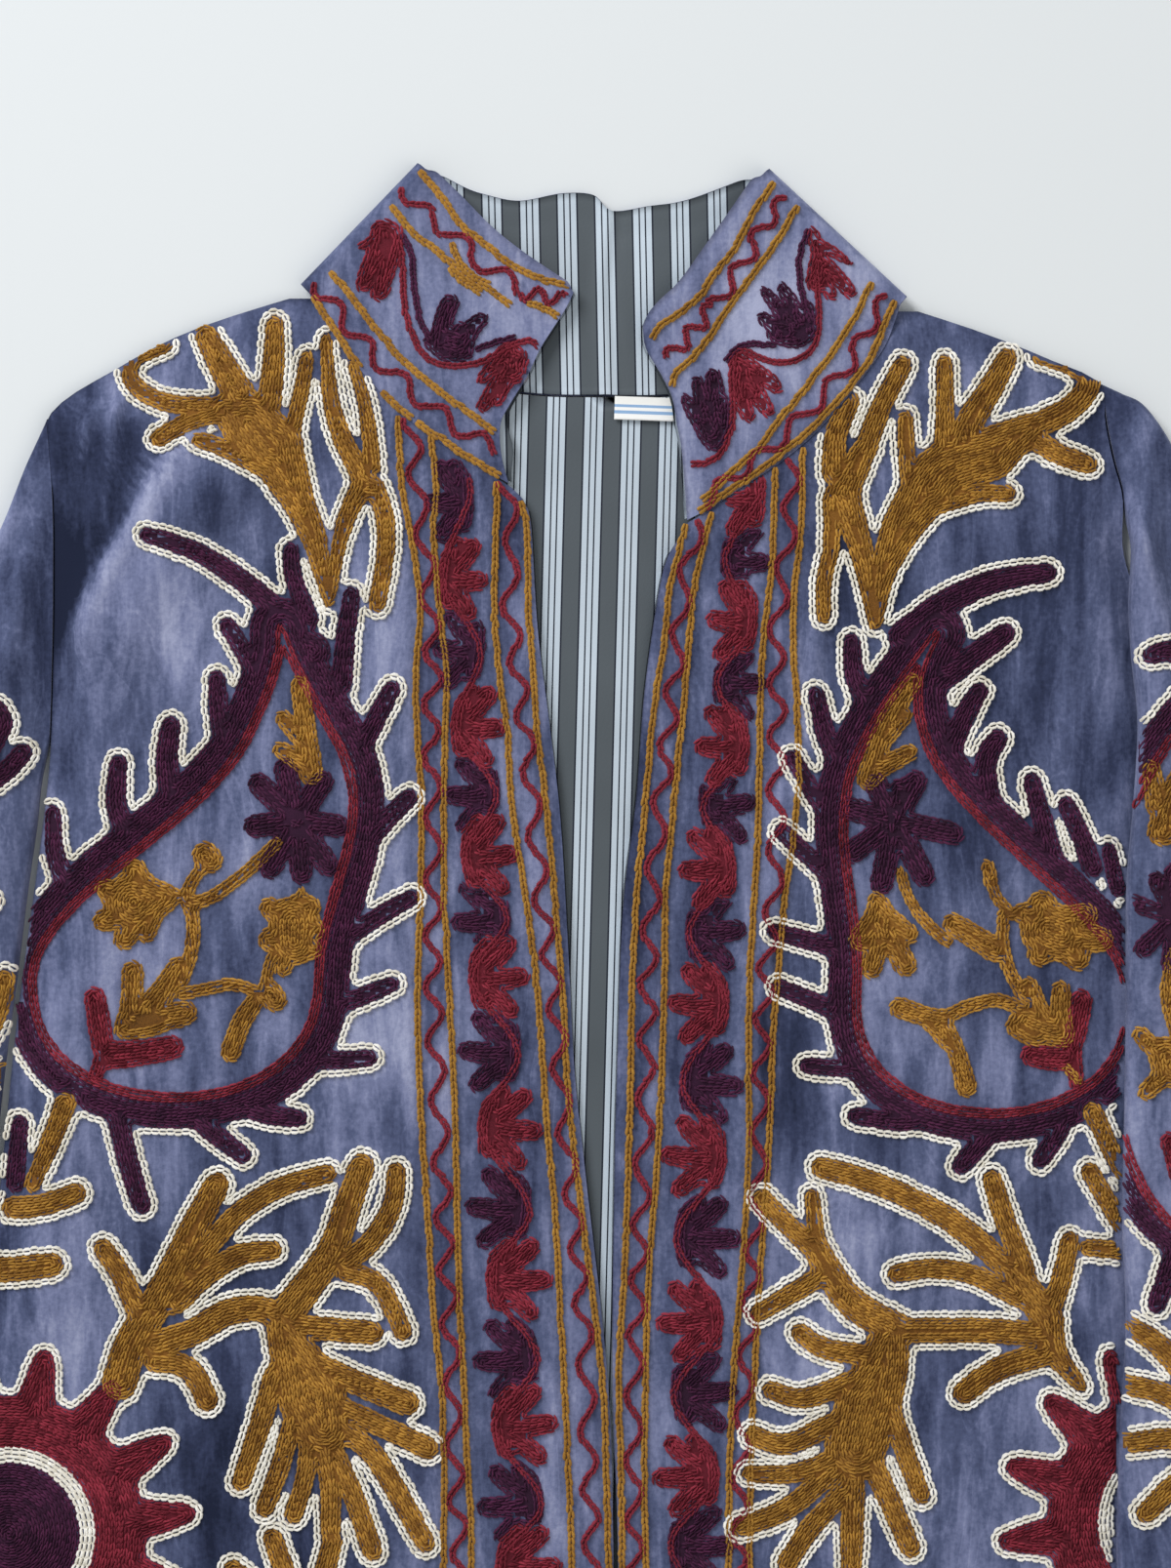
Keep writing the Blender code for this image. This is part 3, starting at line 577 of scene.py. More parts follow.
def collar_grid(heights, end_out, inset):
    """Middle surface of a collar layer as places and heights, rows from seam to top edge."""
    right_fold, left_fold = (BACK_NECK[0], BACK_TOP_EDGE[0]), (BACK_NECK[-1], BACK_TOP_EDGE[-1])
    middle, turn = (heights[0] + heights[1]) / 2, (heights[1] - heights[0]) / 2
    t = np.linspace(0.0, 1.0, 27)[:, None]
    t_in = t + (inset / COLLAR_TALL) * (1.0 - 2.0 * t)
    wings = []
    for seam, top, end, fold, way in (
        (RIGHT_NECK, RIGHT_COLLAR_TOP, RIGHT_COLLAR_END, right_fold, -1.0),
        (LEFT_NECK, LEFT_COLLAR_TOP, LEFT_COLLAR_END, left_fold, 1.0),
    ):
        s = np.linspace(0.0, 1.0, 61)[None, :]
        rounded = CORNER * np.exp(-((1 - s) / 0.035) ** 2) + 0.03 * np.exp(-(s / 0.03) ** 2)
        q = patch(s + 0.0 * t, t_in * (1.0 - rounded), seam[::-1], top, end, fold)
        bulge = 1.0 + 5.0 * np.exp(-((t - 0.17) / 0.12) ** 2) * (way < 0)
        q[..., 0] -= way * end_out * bulge * (1 - s) ** 6
        up = heights[1] + 0.0 * (s + t)
        f0, f1 = np.array(fold[0]), np.array(fold[1])
        axis = (f1 - f0) / np.linalg.norm(f1 - f0)
        normal = np.array((-axis[1], axis[0]))
        normal = normal if way * normal[0] > 0 else -normal
        f = f0 + (f1 - f0) * t_in * (1.0 - CORNER)
        a = np.linspace(0.0, math.pi, 12)[None, 1:-1]
        turned = f[:, None, :] + normal * (turn * np.sin(a))[..., None]
        wings.append((np.concatenate((q, turned), 1),
                      np.concatenate((up, middle + turn * np.cos(a) + 0.0 * t), 1)))
    s = np.linspace(0.0, 1.0, 100)[None, :]
    rounded = CORNER * (np.exp(-(s / 0.03) ** 2) + np.exp(-((1 - s) / 0.03) ** 2))
    back = patch(s + 0.0 * t, t_in * (1.0 - rounded), BACK_NECK, BACK_TOP_EDGE, right_fold, left_fold)
    plan = np.concatenate((wings[0][0], back, wings[1][0][:, ::-1]), 1)
    up = np.concatenate((wings[0][1], heights[0] + 0.0 * (s + t), wings[1][1][:, ::-1]), 1)
    return plan, up, t


def offset_shell(name, plan, up, thickness, mat, shade=0.0):
    """Closed shell of one thickness round a middle surface."""
    middle = place(plan[..., 0], plan[..., 1], up)
    du, dv = np.gradient(middle, axis=1), np.gradient(middle, axis=0)
    normal = np.cross(du, dv)
    normal /= np.linalg.norm(normal, axis=-1, keepdims=True)
    half = normal * thickness * 0.0005
    return shell(name, middle - half, middle + half, mat, shade=shade)


plan, up, t = collar_grid((1.0, 7.9), 0.0, 0.0)
rise = np.where(up > 7.0, 1.0, 0.0) * (1.1 * np.sin(np.pi * t) ** 0.7 + 0.5 * smooth((t - 0.8) * 5))
collar = offset_shell("collar_velvet", plan, up + rise, 1.8, velvet,
                      shade=0.07 + 0.09 * smooth(plan[..., 0] / 40.0))
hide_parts("collar")
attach(collar, "root")
carriers["collar"] = collar

# The collar's lining rolls out at its ends, and stands in one fold at the centre back.
collar_cotton = striped_cotton("collar_lining_cotton", 0.02, 0.10)
plan, up, t = collar_grid((2.8, 6.1), ROLLED_OUT * 1.8, 0.4)
seam_at = plan[..., 0] - np.interp(plan[..., 1], (-36, 0, 40), (4.0, 0.5, 3.0))
on_back = (up < 3.0) & (plan[..., 1] < 60)
up = up + on_back * (1.5 * np.exp(-((seam_at + 1.2) / 2.2) ** 2) - 0.5 * np.exp(-((seam_at - 3.2) / 2.0) ** 2)
                     + 0.5 * np.exp(-((seam_at - 17.0) / 9.0) ** 2)
                      - 0.45 * np.exp(-((t - 0.87) / 0.03) ** 2))
collar_lining = offset_shell("collar_lining_striped", plan, up, 0.9, collar_cotton)
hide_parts("collar_lining")
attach(collar_lining, "root")

# Sleeves. A tube of velvet with its lining in each, pressed nearly flat by its own weight; the
# wearer's left sleeve lies over the side of its front, the right one beside the body.
# Cross sections from shoulder to cuff: out and down of the outer edge, then of the inner one
RIGHT_SLEEVE = (
    (-211.4, 49.2, -210.4, 172.0), (-219.5, 66.0, -212.9, 189.0), (-228.3, 90.0, -215.2, 206.0),
    (-243.0, 118.0, -218.8, 232.0), (-258.0, 146.0, -222.2, 260.0), (-291.0, 205.0, -227.4, 300.0),
    (-317.0, 261.0, -232.0, 345.0), (-333.0, 310.0, -236.8, 390.0), (-343.0, 353.0, -241.6, 430.0),
    (-355.0, 410.0, -246.6, 475.0), (-366.0, 470.0, -251.6, 520.0), (-377.0, 540.0, -257.4, 568.0),
    (-387.4, 612.0, -262.0, 607.0),
)
LEFT_SLEEVE = (
    (190.2, 35.9, 199.7, 80.5), (198.0, 39.5, 199.8, 92.0), (206.1, 44.0, 199.8, 103.0),
    (215.7, 57.4, 198.7, 120.0), (222.5, 74.0, 199.6, 140.0), (228.5, 90.7, 202.0, 165.0),
    (239.0, 118.0, 200.5, 195.0), (250.0, 146.0, 197.8, 228.0), (276.0, 205.0, 197.6, 272.0),
    (292.0, 261.0, 196.8, 320.0), (302.0, 310.0, 196.2, 355.0), (309.0, 353.0, 197.5, 392.0),
    (314.0, 410.0, 195.0, 440.0), (318.0, 470.0, 194.5, 490.0), (326.0, 540.0, 201.0, 550.0),
    (340.0, 612.0, 213.0, 607.0),
)
SLEEVE_WALL, OVER_BODY = 1.8, 9.9
RIGHT_SLEEVE_CREASES = (
    (-213, 90, -224, 130, -236, 190, 6, 2.2), (-219, 80, -236, 130, -252, 190, 7, -1.6),
    (-236, 160, -250, 210, -262, 270, 10, 1.8), (-224, 200, -230, 260, -238, 330, 9, 1.6),
    (-290, 300, -300, 380, -310, 460, 14, 1.8), (-262, 420, -268, 500, -276, 570, 12, -1.2),
)
LEFT_SLEEVE_CREASES = (
    (206, 60, 212, 100, 222, 150, 6, 1.4), (214, 80, 226, 130, 240, 190, 8, -1.0),
    (207, 150, 208, 230, 210, 300, 6, 1.2), (240, 260, 246, 340, 250, 430, 14, 1.6),
    (210, 400, 212, 470, 220, 540, 8, -0.9),
)


def sleeve_shell(side, sections, bow, lies_at, creases):
    """A flattened tube through cross sections; bow bends its head to the armhole."""
    k = np.linspace(0, len(sections) - 1, 8 * len(sections))[:, None]
    table = np.array(sections)
    fine = bend(np.column_stack((np.arange(len(table)) * 40.0, table)), 0.5)
    col = [np.interp(k * 40.0, fine[:, 0], fine[:, i]) for i in (1, 2, 3, 4)]
    outer, inner = np.stack(col[:2], -1), np.stack(col[2:], -1)
    length = np.linalg.norm(outer - inner, axis=-1)
    thick = 6.4 + 1.2 * smooth(k / 3)
    layers = []
    flat, turn = np.linspace(0.0, 1.0, 34)[None, :], np.radians(np.linspace(0.0, 180.0, 9))[None, 1:-1]
    for inset in (0.0, SLEEVE_WALL):
        r, a, b = thick / 2 - inset, thick / 2, length - thick / 2
        reach = np.concatenate((a + (b - a) * flat, b + r * np.sin(turn), b + (a - b) * flat,
                                a - r * np.sin(turn)), 1)
        up = np.concatenate((-r + 0 * flat, -r * np.cos(turn), r + 0 * flat, r * np.cos(turn)), 1)
        share = (reach / length)[..., None]
        p = inner + (outer - inner) * share
        out, down = p[..., 0], p[..., 1]
        out = out + bow(down) * (1.0 - smooth(k / 2))
        belly = np.clip(share[..., 0], 0, 1)
        swell = 4.6 * np.clip(np.sin(np.pi * belly), 0, 1) ** 0.7 * smooth(k / 2.5)
        more = swell + gather_creases(creases, out, down) * smooth(k / 1.5) * np.sin(np.pi * belly)
        upper = smooth((up / np.maximum(r, 0.1) + 0.2) / 1.2)
        layers.append(place(out, down, lies_at(out, down) + thick / 2 + up + np.maximum(more, -0.6) * upper))
    return shell(side + "_sleeve_velvet", layers[0], layers[1], velvet, ring=True)


def body_under(out, down):
    """Height of the front that the left sleeve lies over."""
    over = smooth((down - 76.0) / 26.0)
    past = out - at(LEFT_SIDE, down)
    return OVER_BODY * over * (1.0 - smooth((past - 2.0) / 14.0))


def right_head(down):
    """How far the right armhole bows off a straight line."""
    return at(RIGHT_SIDE[3:], down) + 211.2 - (down - 49.2) * 0.0083


def left_head(down):
    """How far the left armhole bows off a straight line."""
    down = np.minimum(down, 80)
    return at(LEFT_SIDE[3:], down) - 189.9 - (down - 35.9) * 0.205


right_sleeve = sleeve_shell("right", RIGHT_SLEEVE, right_head, lambda out, down: 0.1, RIGHT_SLEEVE_CREASES)
left_sleeve = sleeve_shell("left", LEFT_SLEEVE, left_head, body_under, LEFT_SLEEVE_CREASES)
for side, obj, area, rests in (
    ("right", right_sleeve, 0.112, []), ("left", left_sleeve, 0.108, ["left_front_velvet"]),
):
    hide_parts(side + "_sleeve")
    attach(obj, "root")
    carriers[side + "_sleeve"] = obj

# Chain stitch. Wool yarn worked with a hooked needle: every loop is caught by the next, so a row
# looks like a plait of slanting strands. Fills are rows side by side that follow the outline.
# Millimetres between rows or across a line, along a link, and above the cloth
FILL_ROW, FILL_LINK, FILL_RISE = 2.05, 2.9, 1.6
LINE_WIDTH, LINE_LINK, LINE_RISE = 3.3, 2.5, 1.8
CREAM_WIDTH, CREAM_LINK, CREAM_RISE = 3.1, 2.9, 1.7
WAVE_LINK = 0.8 * LINE_LINK
SHORT_LINE, SHORTER = 45.0, 0.72       # lines under this length have shorter links
BED_AT, BED_PAINTED_SHADE = 0.15, -0.2         # share of the rise at which a fill's ground lies, and its colour, dark as painted shade between the rows
rng = np.random.default_rng(7)


def wool(name, deep, dark, light, sheen):
    """Woollen embroidery yarn: soft, matt and a little uneven in its dye."""
    mat = material(name)
    where = node(mat, "TexCoord").outputs["Object"]
    loop = node(mat, "SeparateXYZ", {0: node(mat, "UVMap", uv_map="lay").outputs[0]}).outputs["X"]
    dye = node(mat, "TexNoise", {"Vector": where}, Scale=60.0, Detail=3.0).outputs["Fac"]
    fibre = node(mat, "TexNoise", {"Vector": where}, Scale=1900.0, Detail=3.0, Roughness=0.7).outputs["Fac"]
    low = node(mat, "Math", {0: fibre}, operation="MULTIPLY_ADD")
    low.inputs[1].default_value = 0.45
    low.inputs[2].default_value = -0.12
    shade = low.outputs[0]
    for source, share in ((dye, 0.35), (loop, 0.45)):
        more = node(mat, "Math", {0: source, 2: shade}, operation="MULTIPLY_ADD")
        more.inputs[1].default_value = share
        shade = more.outputs[0]
    colour = ramp(mat, shade, (0.0, deep), (0.22, dark), (0.78, light))
    bump = node(mat, "Bump", {"Height": fibre}, Strength=0.5, Distance=0.0003).outputs[0]
    shader = node(mat, "BsdfPrincipled", {"Base Color": colour, "Normal": bump}, Roughness=0.85)
    shader.inputs["Sheen Weight"].default_value = sheen
    shader.inputs["Sheen Roughness"].default_value = 0.5
    shader.inputs["Specular IOR Level"].default_value = 0.2
    return finish_with(mat, shader)


ochre = wool("ochre_wool", "#3c240b", "#7d521b", "#c8963f", 0.15)
aubergine = wool("aubergine_wool", "#180816", "#32122c", "#5c274a", 0.12)
crimson = wool("crimson_wool", "#320a14", "#611725", "#a03546", 0.12)
cream = wool("cream_cotton", "#8d8674", "#ded7c6", "#fffbf2", 0.1)


def link_form(stations, girth):
    """One link: two mirrored strands of (reach, side, height, half width) stations."""
    verts, faces = [], []
    n = len(girth)
    for way in (1.0, -1.0):
        base = len(verts)
        for reach, side, height, half in stations:
            for across, lift in girth:
                verts.append((reach, way * (side + across * half), height * lift))
        for i in range(len(stations) - 1):
            for j in range(n - 1):
                a = base + i * n + j
                quad = (a, a + n, a + n + 1, a + 1)
                faces.append(quad if way < 0 else quad[::-1])
    return np.array(verts), np.array(faces)


# Links of fills, of lines and of the open cream chain
PLAIT = link_form(
    ((-0.05, 0.05, 0.30, 0.08), (0.32, 0.18, 0.95, 0.20), (0.85, 0.26, 1.0, 0.21), (1.26, 0.26, 0.35, 0.10)),
    ((-1.0, -0.1), (0.0, 1.0), (1.0, -0.1)),
)
ROPE = link_form(
    ((0.0, 0.12, 0.70, 0.18), (0.40, 0.18, 1.0, 0.22), (0.9, 0.23, 0.98, 0.22), (1.28, 0.22, 0.55, 0.14)),
    ((-1.0, -0.1), (0.0, 1.0), (1.0, -0.1)),
)
LOOP = link_form(
    ((0.0, 0.08, 0.4, 0.14), (0.35, 0.27, 0.95, 0.21), (0.85, 0.27, 1.0, 0.21), (1.25, 0.07, 0.55, 0.15)),
    ((-1.0, -0.2), (-0.55, 0.9), (0.55, 0.9), (1.0, -0.2)),
)


class Surface:
    """Height of the cloth that stitches lie on, looked up in plan."""

    def __init__(self, obj, over=None, cover_from=180.0, step=1.5):
        tree = BVHTree.FromObject(obj, bpy.context.evaluated_depsgraph_get())
        cover = over and BVHTree.FromObject(over, bpy.context.evaluated_depsgraph_get())
        box = np.array([v[:] for v in obj.bound_box]) * 1000.0
        self.o0, self.d0, self.step = box[:, 0].min() + MIDDLE[0], MIDDLE[1] - box[:, 1].max(), step
        outs = np.arange(self.o0, box[:, 0].max() + MIDDLE[0], step)
        downs = np.arange(self.d0, MIDDLE[1] - box[:, 1].min(), step)
        self.up = np.full((len(downs), len(outs)), np.nan)
        below = Vector((0.0, 0.0, -1.0))
        for i, d in enumerate(downs):
            for j, o in enumerate(outs):
                start = Vector(((o - MIDDLE[0]) * 0.001, (MIDDLE[1] - d) * 0.001, 0.1))
                hit = tree.ray_cast(start, below)[0]
                if hit is not None:
                    self.up[i, j] = hit.z * 1000.0
        self.cloth = ~np.isnan(self.up)
        for _ in range(2):
            near = np.stack([np.roll(self.up, way, axis) for axis in (0, 1) for way in (1, -1)])
            grown = np.nanmax(np.where(np.isnan(near), -99.0, near), 0) - 0.5
            self.up = np.where(np.isnan(self.up) & (grown > -90), grown, self.up)
        if cover:
            for i, d in enumerate(downs):
                for j in np.nonzero(outs > cover_from)[0]:
                    start = Vector(((outs[j] - MIDDLE[0]) * 0.001, (MIDDLE[1] - d) * 0.001, 0.1))
                    if cover.ray_cast(start, below)[0] is not None:
                        self.cloth[i, j] = False

    def carries(self, out, down):
        """Whether places lie on the cloth, and not under another piece."""
        rows, cols = self.cloth.shape
        j = np.round((out - self.o0) / self.step).astype(int)
        i = np.round((down - self.d0) / self.step).astype(int)
        good = (i >= 0) & (j >= 0) & (i < rows) & (j < cols)
        return good & self.cloth[np.clip(i, 0, rows - 1), np.clip(j, 0, cols - 1)]

    def __call__(self, out, down):
        x, y = (out - self.o0) / self.step, (down - self.d0) / self.step
        rows, cols = self.up.shape
        j, i = np.floor(x).astype(int), np.floor(y).astype(int)
        good = (i >= 0) & (j >= 0) & (i < rows - 1) & (j < cols - 1)
        i, j = np.clip(i, 0, rows - 2), np.clip(j, 0, cols - 2)
        fx, fy = x - j, y - i
        up = ((self.up[i, j] * (1 - fx) + self.up[i, j + 1] * fx) * (1 - fy)
              + (self.up[i + 1, j] * (1 - fx) + self.up[i + 1, j + 1] * fx) * fy)
        return np.where(good, up, np.nan)


class Drawing:
    """Depth inside drawn shapes, in millimetres, on a 1 mm grid over part of a panel."""

    def __init__(self, o0, d0, o1, d1):
        self.outs, self.downs = np.arange(o0, o1, 1.0), np.arange(d0, d1, 1.0)
        self.out, self.down = np.meshgrid(self.outs, self.downs)
        self.depth = np.full(self.out.shape, -9.0)

    def copy(self, depth):
        other = Drawing.__new__(Drawing)
        other.outs, other.downs, other.out, other.down = self.outs, self.downs, self.out, self.down
        other.depth = depth
        return other

    def draw(self, strokes):
        """Adds strokes of (width at start, width at end, out, down, out, down, ...)."""
        for w0, w1, *flat in strokes:
            line = bend(np.reshape(flat, (-1, 2)), 3.0)
            radii = np.linspace(w0, w1, len(line)) / 2
            for (a, b), (ra, rb) in zip(zip(line, line[1:]), zip(radii, radii[1:])):
                reach = max(ra, rb) + 6.0
                i0, i1 = np.searchsorted(self.downs, (min(a[1], b[1]) - reach, max(a[1], b[1]) + reach))
                j0, j1 = np.searchsorted(self.outs, (min(a[0], b[0]) - reach, max(a[0], b[0]) + reach))
                if i0 == i1 or j0 == j1:
                    continue
                o, d = self.out[i0:i1, j0:j1], self.down[i0:i1, j0:j1]
                run = b - a
                s = np.clip(((o - a[0]) * run[0] + (d - a[1]) * run[1]) / max(1e-9, run @ run), 0.0, 1.0)
                far = np.hypot(o - a[0] - s * run[0], d - a[1] - s * run[1])
                part = self.depth[i0:i1, j0:j1]
                np.maximum(part, ra + (rb - ra) * s - far, out=part)
        return self

    def rows(self, first=0.8, step=FILL_ROW):
        """Rows of stitches that fill the shapes, from the outline inwards, and a last one down a middle."""
        found = []
        level = first
        while level < self.depth.max():
            found += contours(self, level)
            level += step
            deeper = contours(self, level)
            for line in contours(self, level - 0.35 * step):
                if len(line) > 90 or any(np.hypot(*(row - line[0]).T).min() < 0.9 * step for row in deeper):
                    continue
                first_at = np.argmax(np.hypot(*(line - line.mean(0)).T))
                found.append(np.roll(line[:-1], -first_at, 0)[:len(line) // 2 + 1])
        return found


def contours(drawing, level):
    """Lines along which a drawing's depth has one value."""
    f = drawing.depth - level
    inside = f > 0
    rows, cols = f.shape
    ends = {}

    def crossing(i, j, upright):
        k, l = (i + 1, j) if upright else (i, j + 1)
        s = f[i, j] / (f[i, j] - f[k, l])
        return (drawing.outs[j] + (0.0 if upright else s), drawing.downs[i] + (s if upright else 0.0))

    corner = inside[:-1, :-1] * 1 + inside[:-1, 1:] * 2 + inside[1:, 1:] * 4 + inside[1:, :-1] * 8
    pairs = {1: ((3, 0),), 2: ((0, 1),), 3: ((3, 1),), 4: ((1, 2),), 5: ((3, 0), (1, 2)), 6: ((0, 2),),
             7: ((3, 2),), 8: ((2, 3),), 9: ((2, 0),), 10: ((0, 1), (2, 3)), 11: ((2, 1),), 12: ((1, 3),),
             13: ((1, 0),), 14: ((0, 3),)}
    for i, j in zip(*np.nonzero((corner > 0) & (corner < 15))):
        sides = ((i, j, False), (i, j + 1, True), (i + 1, j, False), (i, j, True))
        for a, b in pairs[int(corner[i, j])]:
            ends.setdefault(sides[a], []).append(sides[b])
            ends.setdefault(sides[b], []).append(sides[a])
    seen, found = set(), []
    starts = [e for e, near in ends.items() if len(near) == 1] + list(ends)
    for start in starts:
        if start in seen:
            continue
        line, here = [], start
        while here is not None:
            seen.add(here)
            line.append(crossing(*here))
            here = next((e for e in ends[here] if e not in seen), None)
        if len(ends[start]) == 2:
            line.append(line[0])
        if len(line) > 4:
            found.append(np.array(line))
    return found


def sew(name, surface, yarn, lines, width, link, rise, form=PLAIT, bed=None):
    """Chain-stitches lines on a surface as one piece; bed is the drawing of a fill under them."""
    starts, stops = [], []
    for line in lines:
        line = np.asarray(line, float)
        reach = np.concatenate(([0.0], np.cumsum(np.hypot(*np.diff(line, axis=0).T))))
        count = int(round(reach[-1] / (link * (SHORTER if reach[-1] < SHORT_LINE else 1.0))))
        if count < 1:
            continue
        t = np.linspace(0.0, reach[-1], count + 1)
        p = np.stack((np.interp(t, reach, line[:, 0]), np.interp(t, reach, line[:, 1])), -1)
        starts.append(p[:-1])
        stops.append(p[1:])
    a, b = np.concatenate(starts), np.concatenate(stops)
    good = surface.carries(*a.T) & surface.carries(*b.T)
    a, b = a[good], b[good]
    run = b - a
    cross = np.stack((-run[:, 1], run[:, 0]), -1) / np.maximum(1e-6, np.hypot(*run.T))[:, None]
    verts, faces = form
    wide = width * rng.uniform(0.93, 1.07, len(a))
    high = rise * rng.uniform(0.94, 1.06, len(a))
    cross_at = cross * rng.normal(0.0, 0.05, len(a))[:, None] * width
    plan = (a + cross_at)[:, None, :] + run[:, None, :] * verts[None, :, 0, None]
    plan = plan + cross[:, None, :] * (wide[:, None] * verts[None, :, 1])[..., None]
    ground = surface(plan[..., 0], plan[..., 1])
    good = ~np.isnan(ground).any(1)
    plan, ground, high = plan[good], ground[good], high[good]
    up = ground + high[:, None] * verts[None, :, 2]
    points = place(plan[..., 0], plan[..., 1], up).reshape(-1, 3)
    quads = (faces[None] + (np.arange(len(plan)) * len(verts))[:, None, None]).reshape(-1, 4)
    spread = 0.22 if form is ROPE else 0.5
    shade = np.repeat(0.5 + rng.uniform(-spread, spread, len(plan)), len(verts))
    # A fill's ground: a low sheet of the yarn under the rows, dyed dark as painted shade in the gaps between
    # them
    if bed is not None:
        o, d, z = bed.out[::2, ::2], bed.down[::2, ::2], bed.depth[::2, ::2]
        ground = surface(o, d) + BED_AT * rise
        index = np.arange(o.size).reshape(o.shape) + len(points)
        ok = (z > 0.35) & ~np.isnan(ground) & surface.carries(o, d)
        full = ok[:-1, :-1] & ok[1:, :-1] & ok[1:, 1:] & ok[:-1, 1:]
        tiles = np.stack((index[:-1, :-1], index[1:, :-1], index[1:, 1:], index[:-1, 1:]), -1)[full]
        points = np.concatenate((points, place(o, d, np.nan_to_num(ground)).reshape(-1, 3)))
        quads = np.concatenate((quads, tiles))
        shade = np.concatenate((shade, np.full(o.size, BED_PAINTED_SHADE)))
        used = np.zeros(len(points), bool)
        used[quads.ravel()] = True
        number = np.cumsum(used) - 1
        points, shade, quads = points[used], shade[used], number[quads]
    obj = mesh_object(name, points, quads, yarn, uv=np.stack((shade, 0.0 * shade), -1))
    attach(obj, "root")
    return obj


def fill(name, surface, yarn, drawing):
    """Fills a drawing with rows of chain stitch."""
    return sew(name, surface, yarn, drawing.rows(), FILL_ROW * 1.3, FILL_LINK, FILL_RISE, bed=drawing)


def inside(points, out, down):
    """Whether places are inside a closed line."""
    hit = np.zeros(np.shape(out), bool)
    for (o1, d1), (o2, d2) in zip(points, np.roll(points, -1, 0)):
        if d1 != d2:
            hit ^= ((d1 > down) != (d2 > down)) & (out < (o2 - o1) * (down - d1) / (d2 - d1) + o1)
    return hit


def outside_of(points, drawing):
    """Distance outside a closed line over a drawing's grid, negative inside it."""
    line = bend(list(points) + [points[0]], 4.0)
    far = away(line, drawing.out, drawing.down)
    return np.where(inside(line, drawing.out, drawing.down), -far, far)


def wave(points, reach, period):
    """Line that swings to both sides of a middle line."""
    line = bend(points, 1.0)
    run = np.gradient(line, axis=0)
    run /= np.maximum(1e-6, np.hypot(*run.T))[:, None]
    length = np.concatenate(([0.0], np.cumsum(np.hypot(*np.diff(line, axis=0).T))))
    swing = reach * np.sin(2 * math.pi * length / period + 0.5 * np.sin(length / 17.0))
    return line + np.stack((-run[:, 1], run[:, 0]), -1) * swing[:, None]


surfaces = {name: Surface(cloth, over=carriers["left_sleeve"] if name == "left_front" else None)
            for name, cloth in carriers.items()}

# Front borders. Down each front edge: an ochre line, a crimson wave and an ochre line, then a
# vine of half flowers on a winding crimson stem, then ochre, wave and ochre again.
# A border's rows: down, then out of edge ochre, wave, ochre, vine, ochre, wave and outer ochre
RIGHT_BORDER = (
    (46, -34, -39, -42, -57.5, -66, -73, -77.5),
    (76, -32.0, -37, -40, -56.5, -63, -70, -76), (91, -28.7, -34, -40.3, -55.5, -64, -68, -73),
    (120, -28, -35, -41, -54.5, -62, -65.5, -69), (146, -26, -32, -39, -51.5, -59, -64, -70.7),
    (168, -24.6, -29, -36, -49, -59.6, -65, -70), (198, -21, -26, -34, -46.5, -60, -64, -68.5),
    (231, -18, -23, -29, -44, -60, -64, -69), (268, -15, -18, -24.4, -41.5, -58, -64, -70),
    (309, -12.5, -15, -21.5, -38.5, -56, -62, -69), (353, -7.5, -10.5, -17.8, -36, -55, -60, -66),
    (387, -3, -7.5, -16, -34, -54, -58, -64), (416, 0.2, -6, -14.4, -33, -52.5, -56.6, -61),
    (446, 1.4, -5, -13, -32, -51, -56, -60), (483, 2.4, -4, -11.5, -31, -49.5, -54, -60),
    (560, 3, -3, -10.5, -30, -48.5, -53, -59), (646, 4, -2, -9.5, -29, -47.5, -52, -58),
)
LEFT_BORDER = (
    (58, 40, 44, 47, 57, 65.5, 72.5, 76), (91, 31.5, 36, 40, 53, 65, 71, 75.5),
    (113, 26, 31, 35, 52, 63.6, 68, 73), (135, 23.5, 29, 33, 51, 61, 66, 72.5),
    (161, 19.5, 26, 30.7, 49, 60, 66.6, 74), (187, 17, 23, 28, 46.5, 59.6, 66, 74.4),
    (209, 15.2, 21, 26, 43.5, 59, 66, 72.5), (231, 13, 19, 24, 41, 57.7, 65, 69.5),
    (261, 11.5, 17.5, 23.7, 39.5, 56, 62, 66.6), (287, 11, 17, 23, 38.9, 55.5, 60.5, 64.8),
    (331, 10, 15.5, 21, 37.7, 55.5, 59.5, 63), (372, 8.5, 14, 17.8, 36.5, 53, 57, 60),
    (409, 6.5, 12.5, 16.6, 36, 50, 54.5, 58), (446, 7, 12, 16, 35, 48.5, 52.5, 56.5),
    (483, 7.7, 12.5, 16.5, 34.5, 48, 52, 56), (560, 8.6, 14, 19, 36, 49, 53, 57),
    (646, 9.7, 15, 20, 37, 50, 54, 58),
)
# How far down each half flower of a border is
RIGHT_CRIMSON_AT = (110, 166, 216, 262, 318, 376, 432.5, 485, 540, 597)
RIGHT_AUBERGINE_AT = (81, 138, 192, 239, 290, 350, 406, 461, 513, 569, 625)
LEFT_CRIMSON_AT = (79, 127, 173.5, 219.4, 272, 330.4, 391.5, 450, 509, 568, 627)
LEFT_AUBERGINE_AT = (103, 149, 196.5, 244, 300.8, 360, 420, 477, 538, 597)


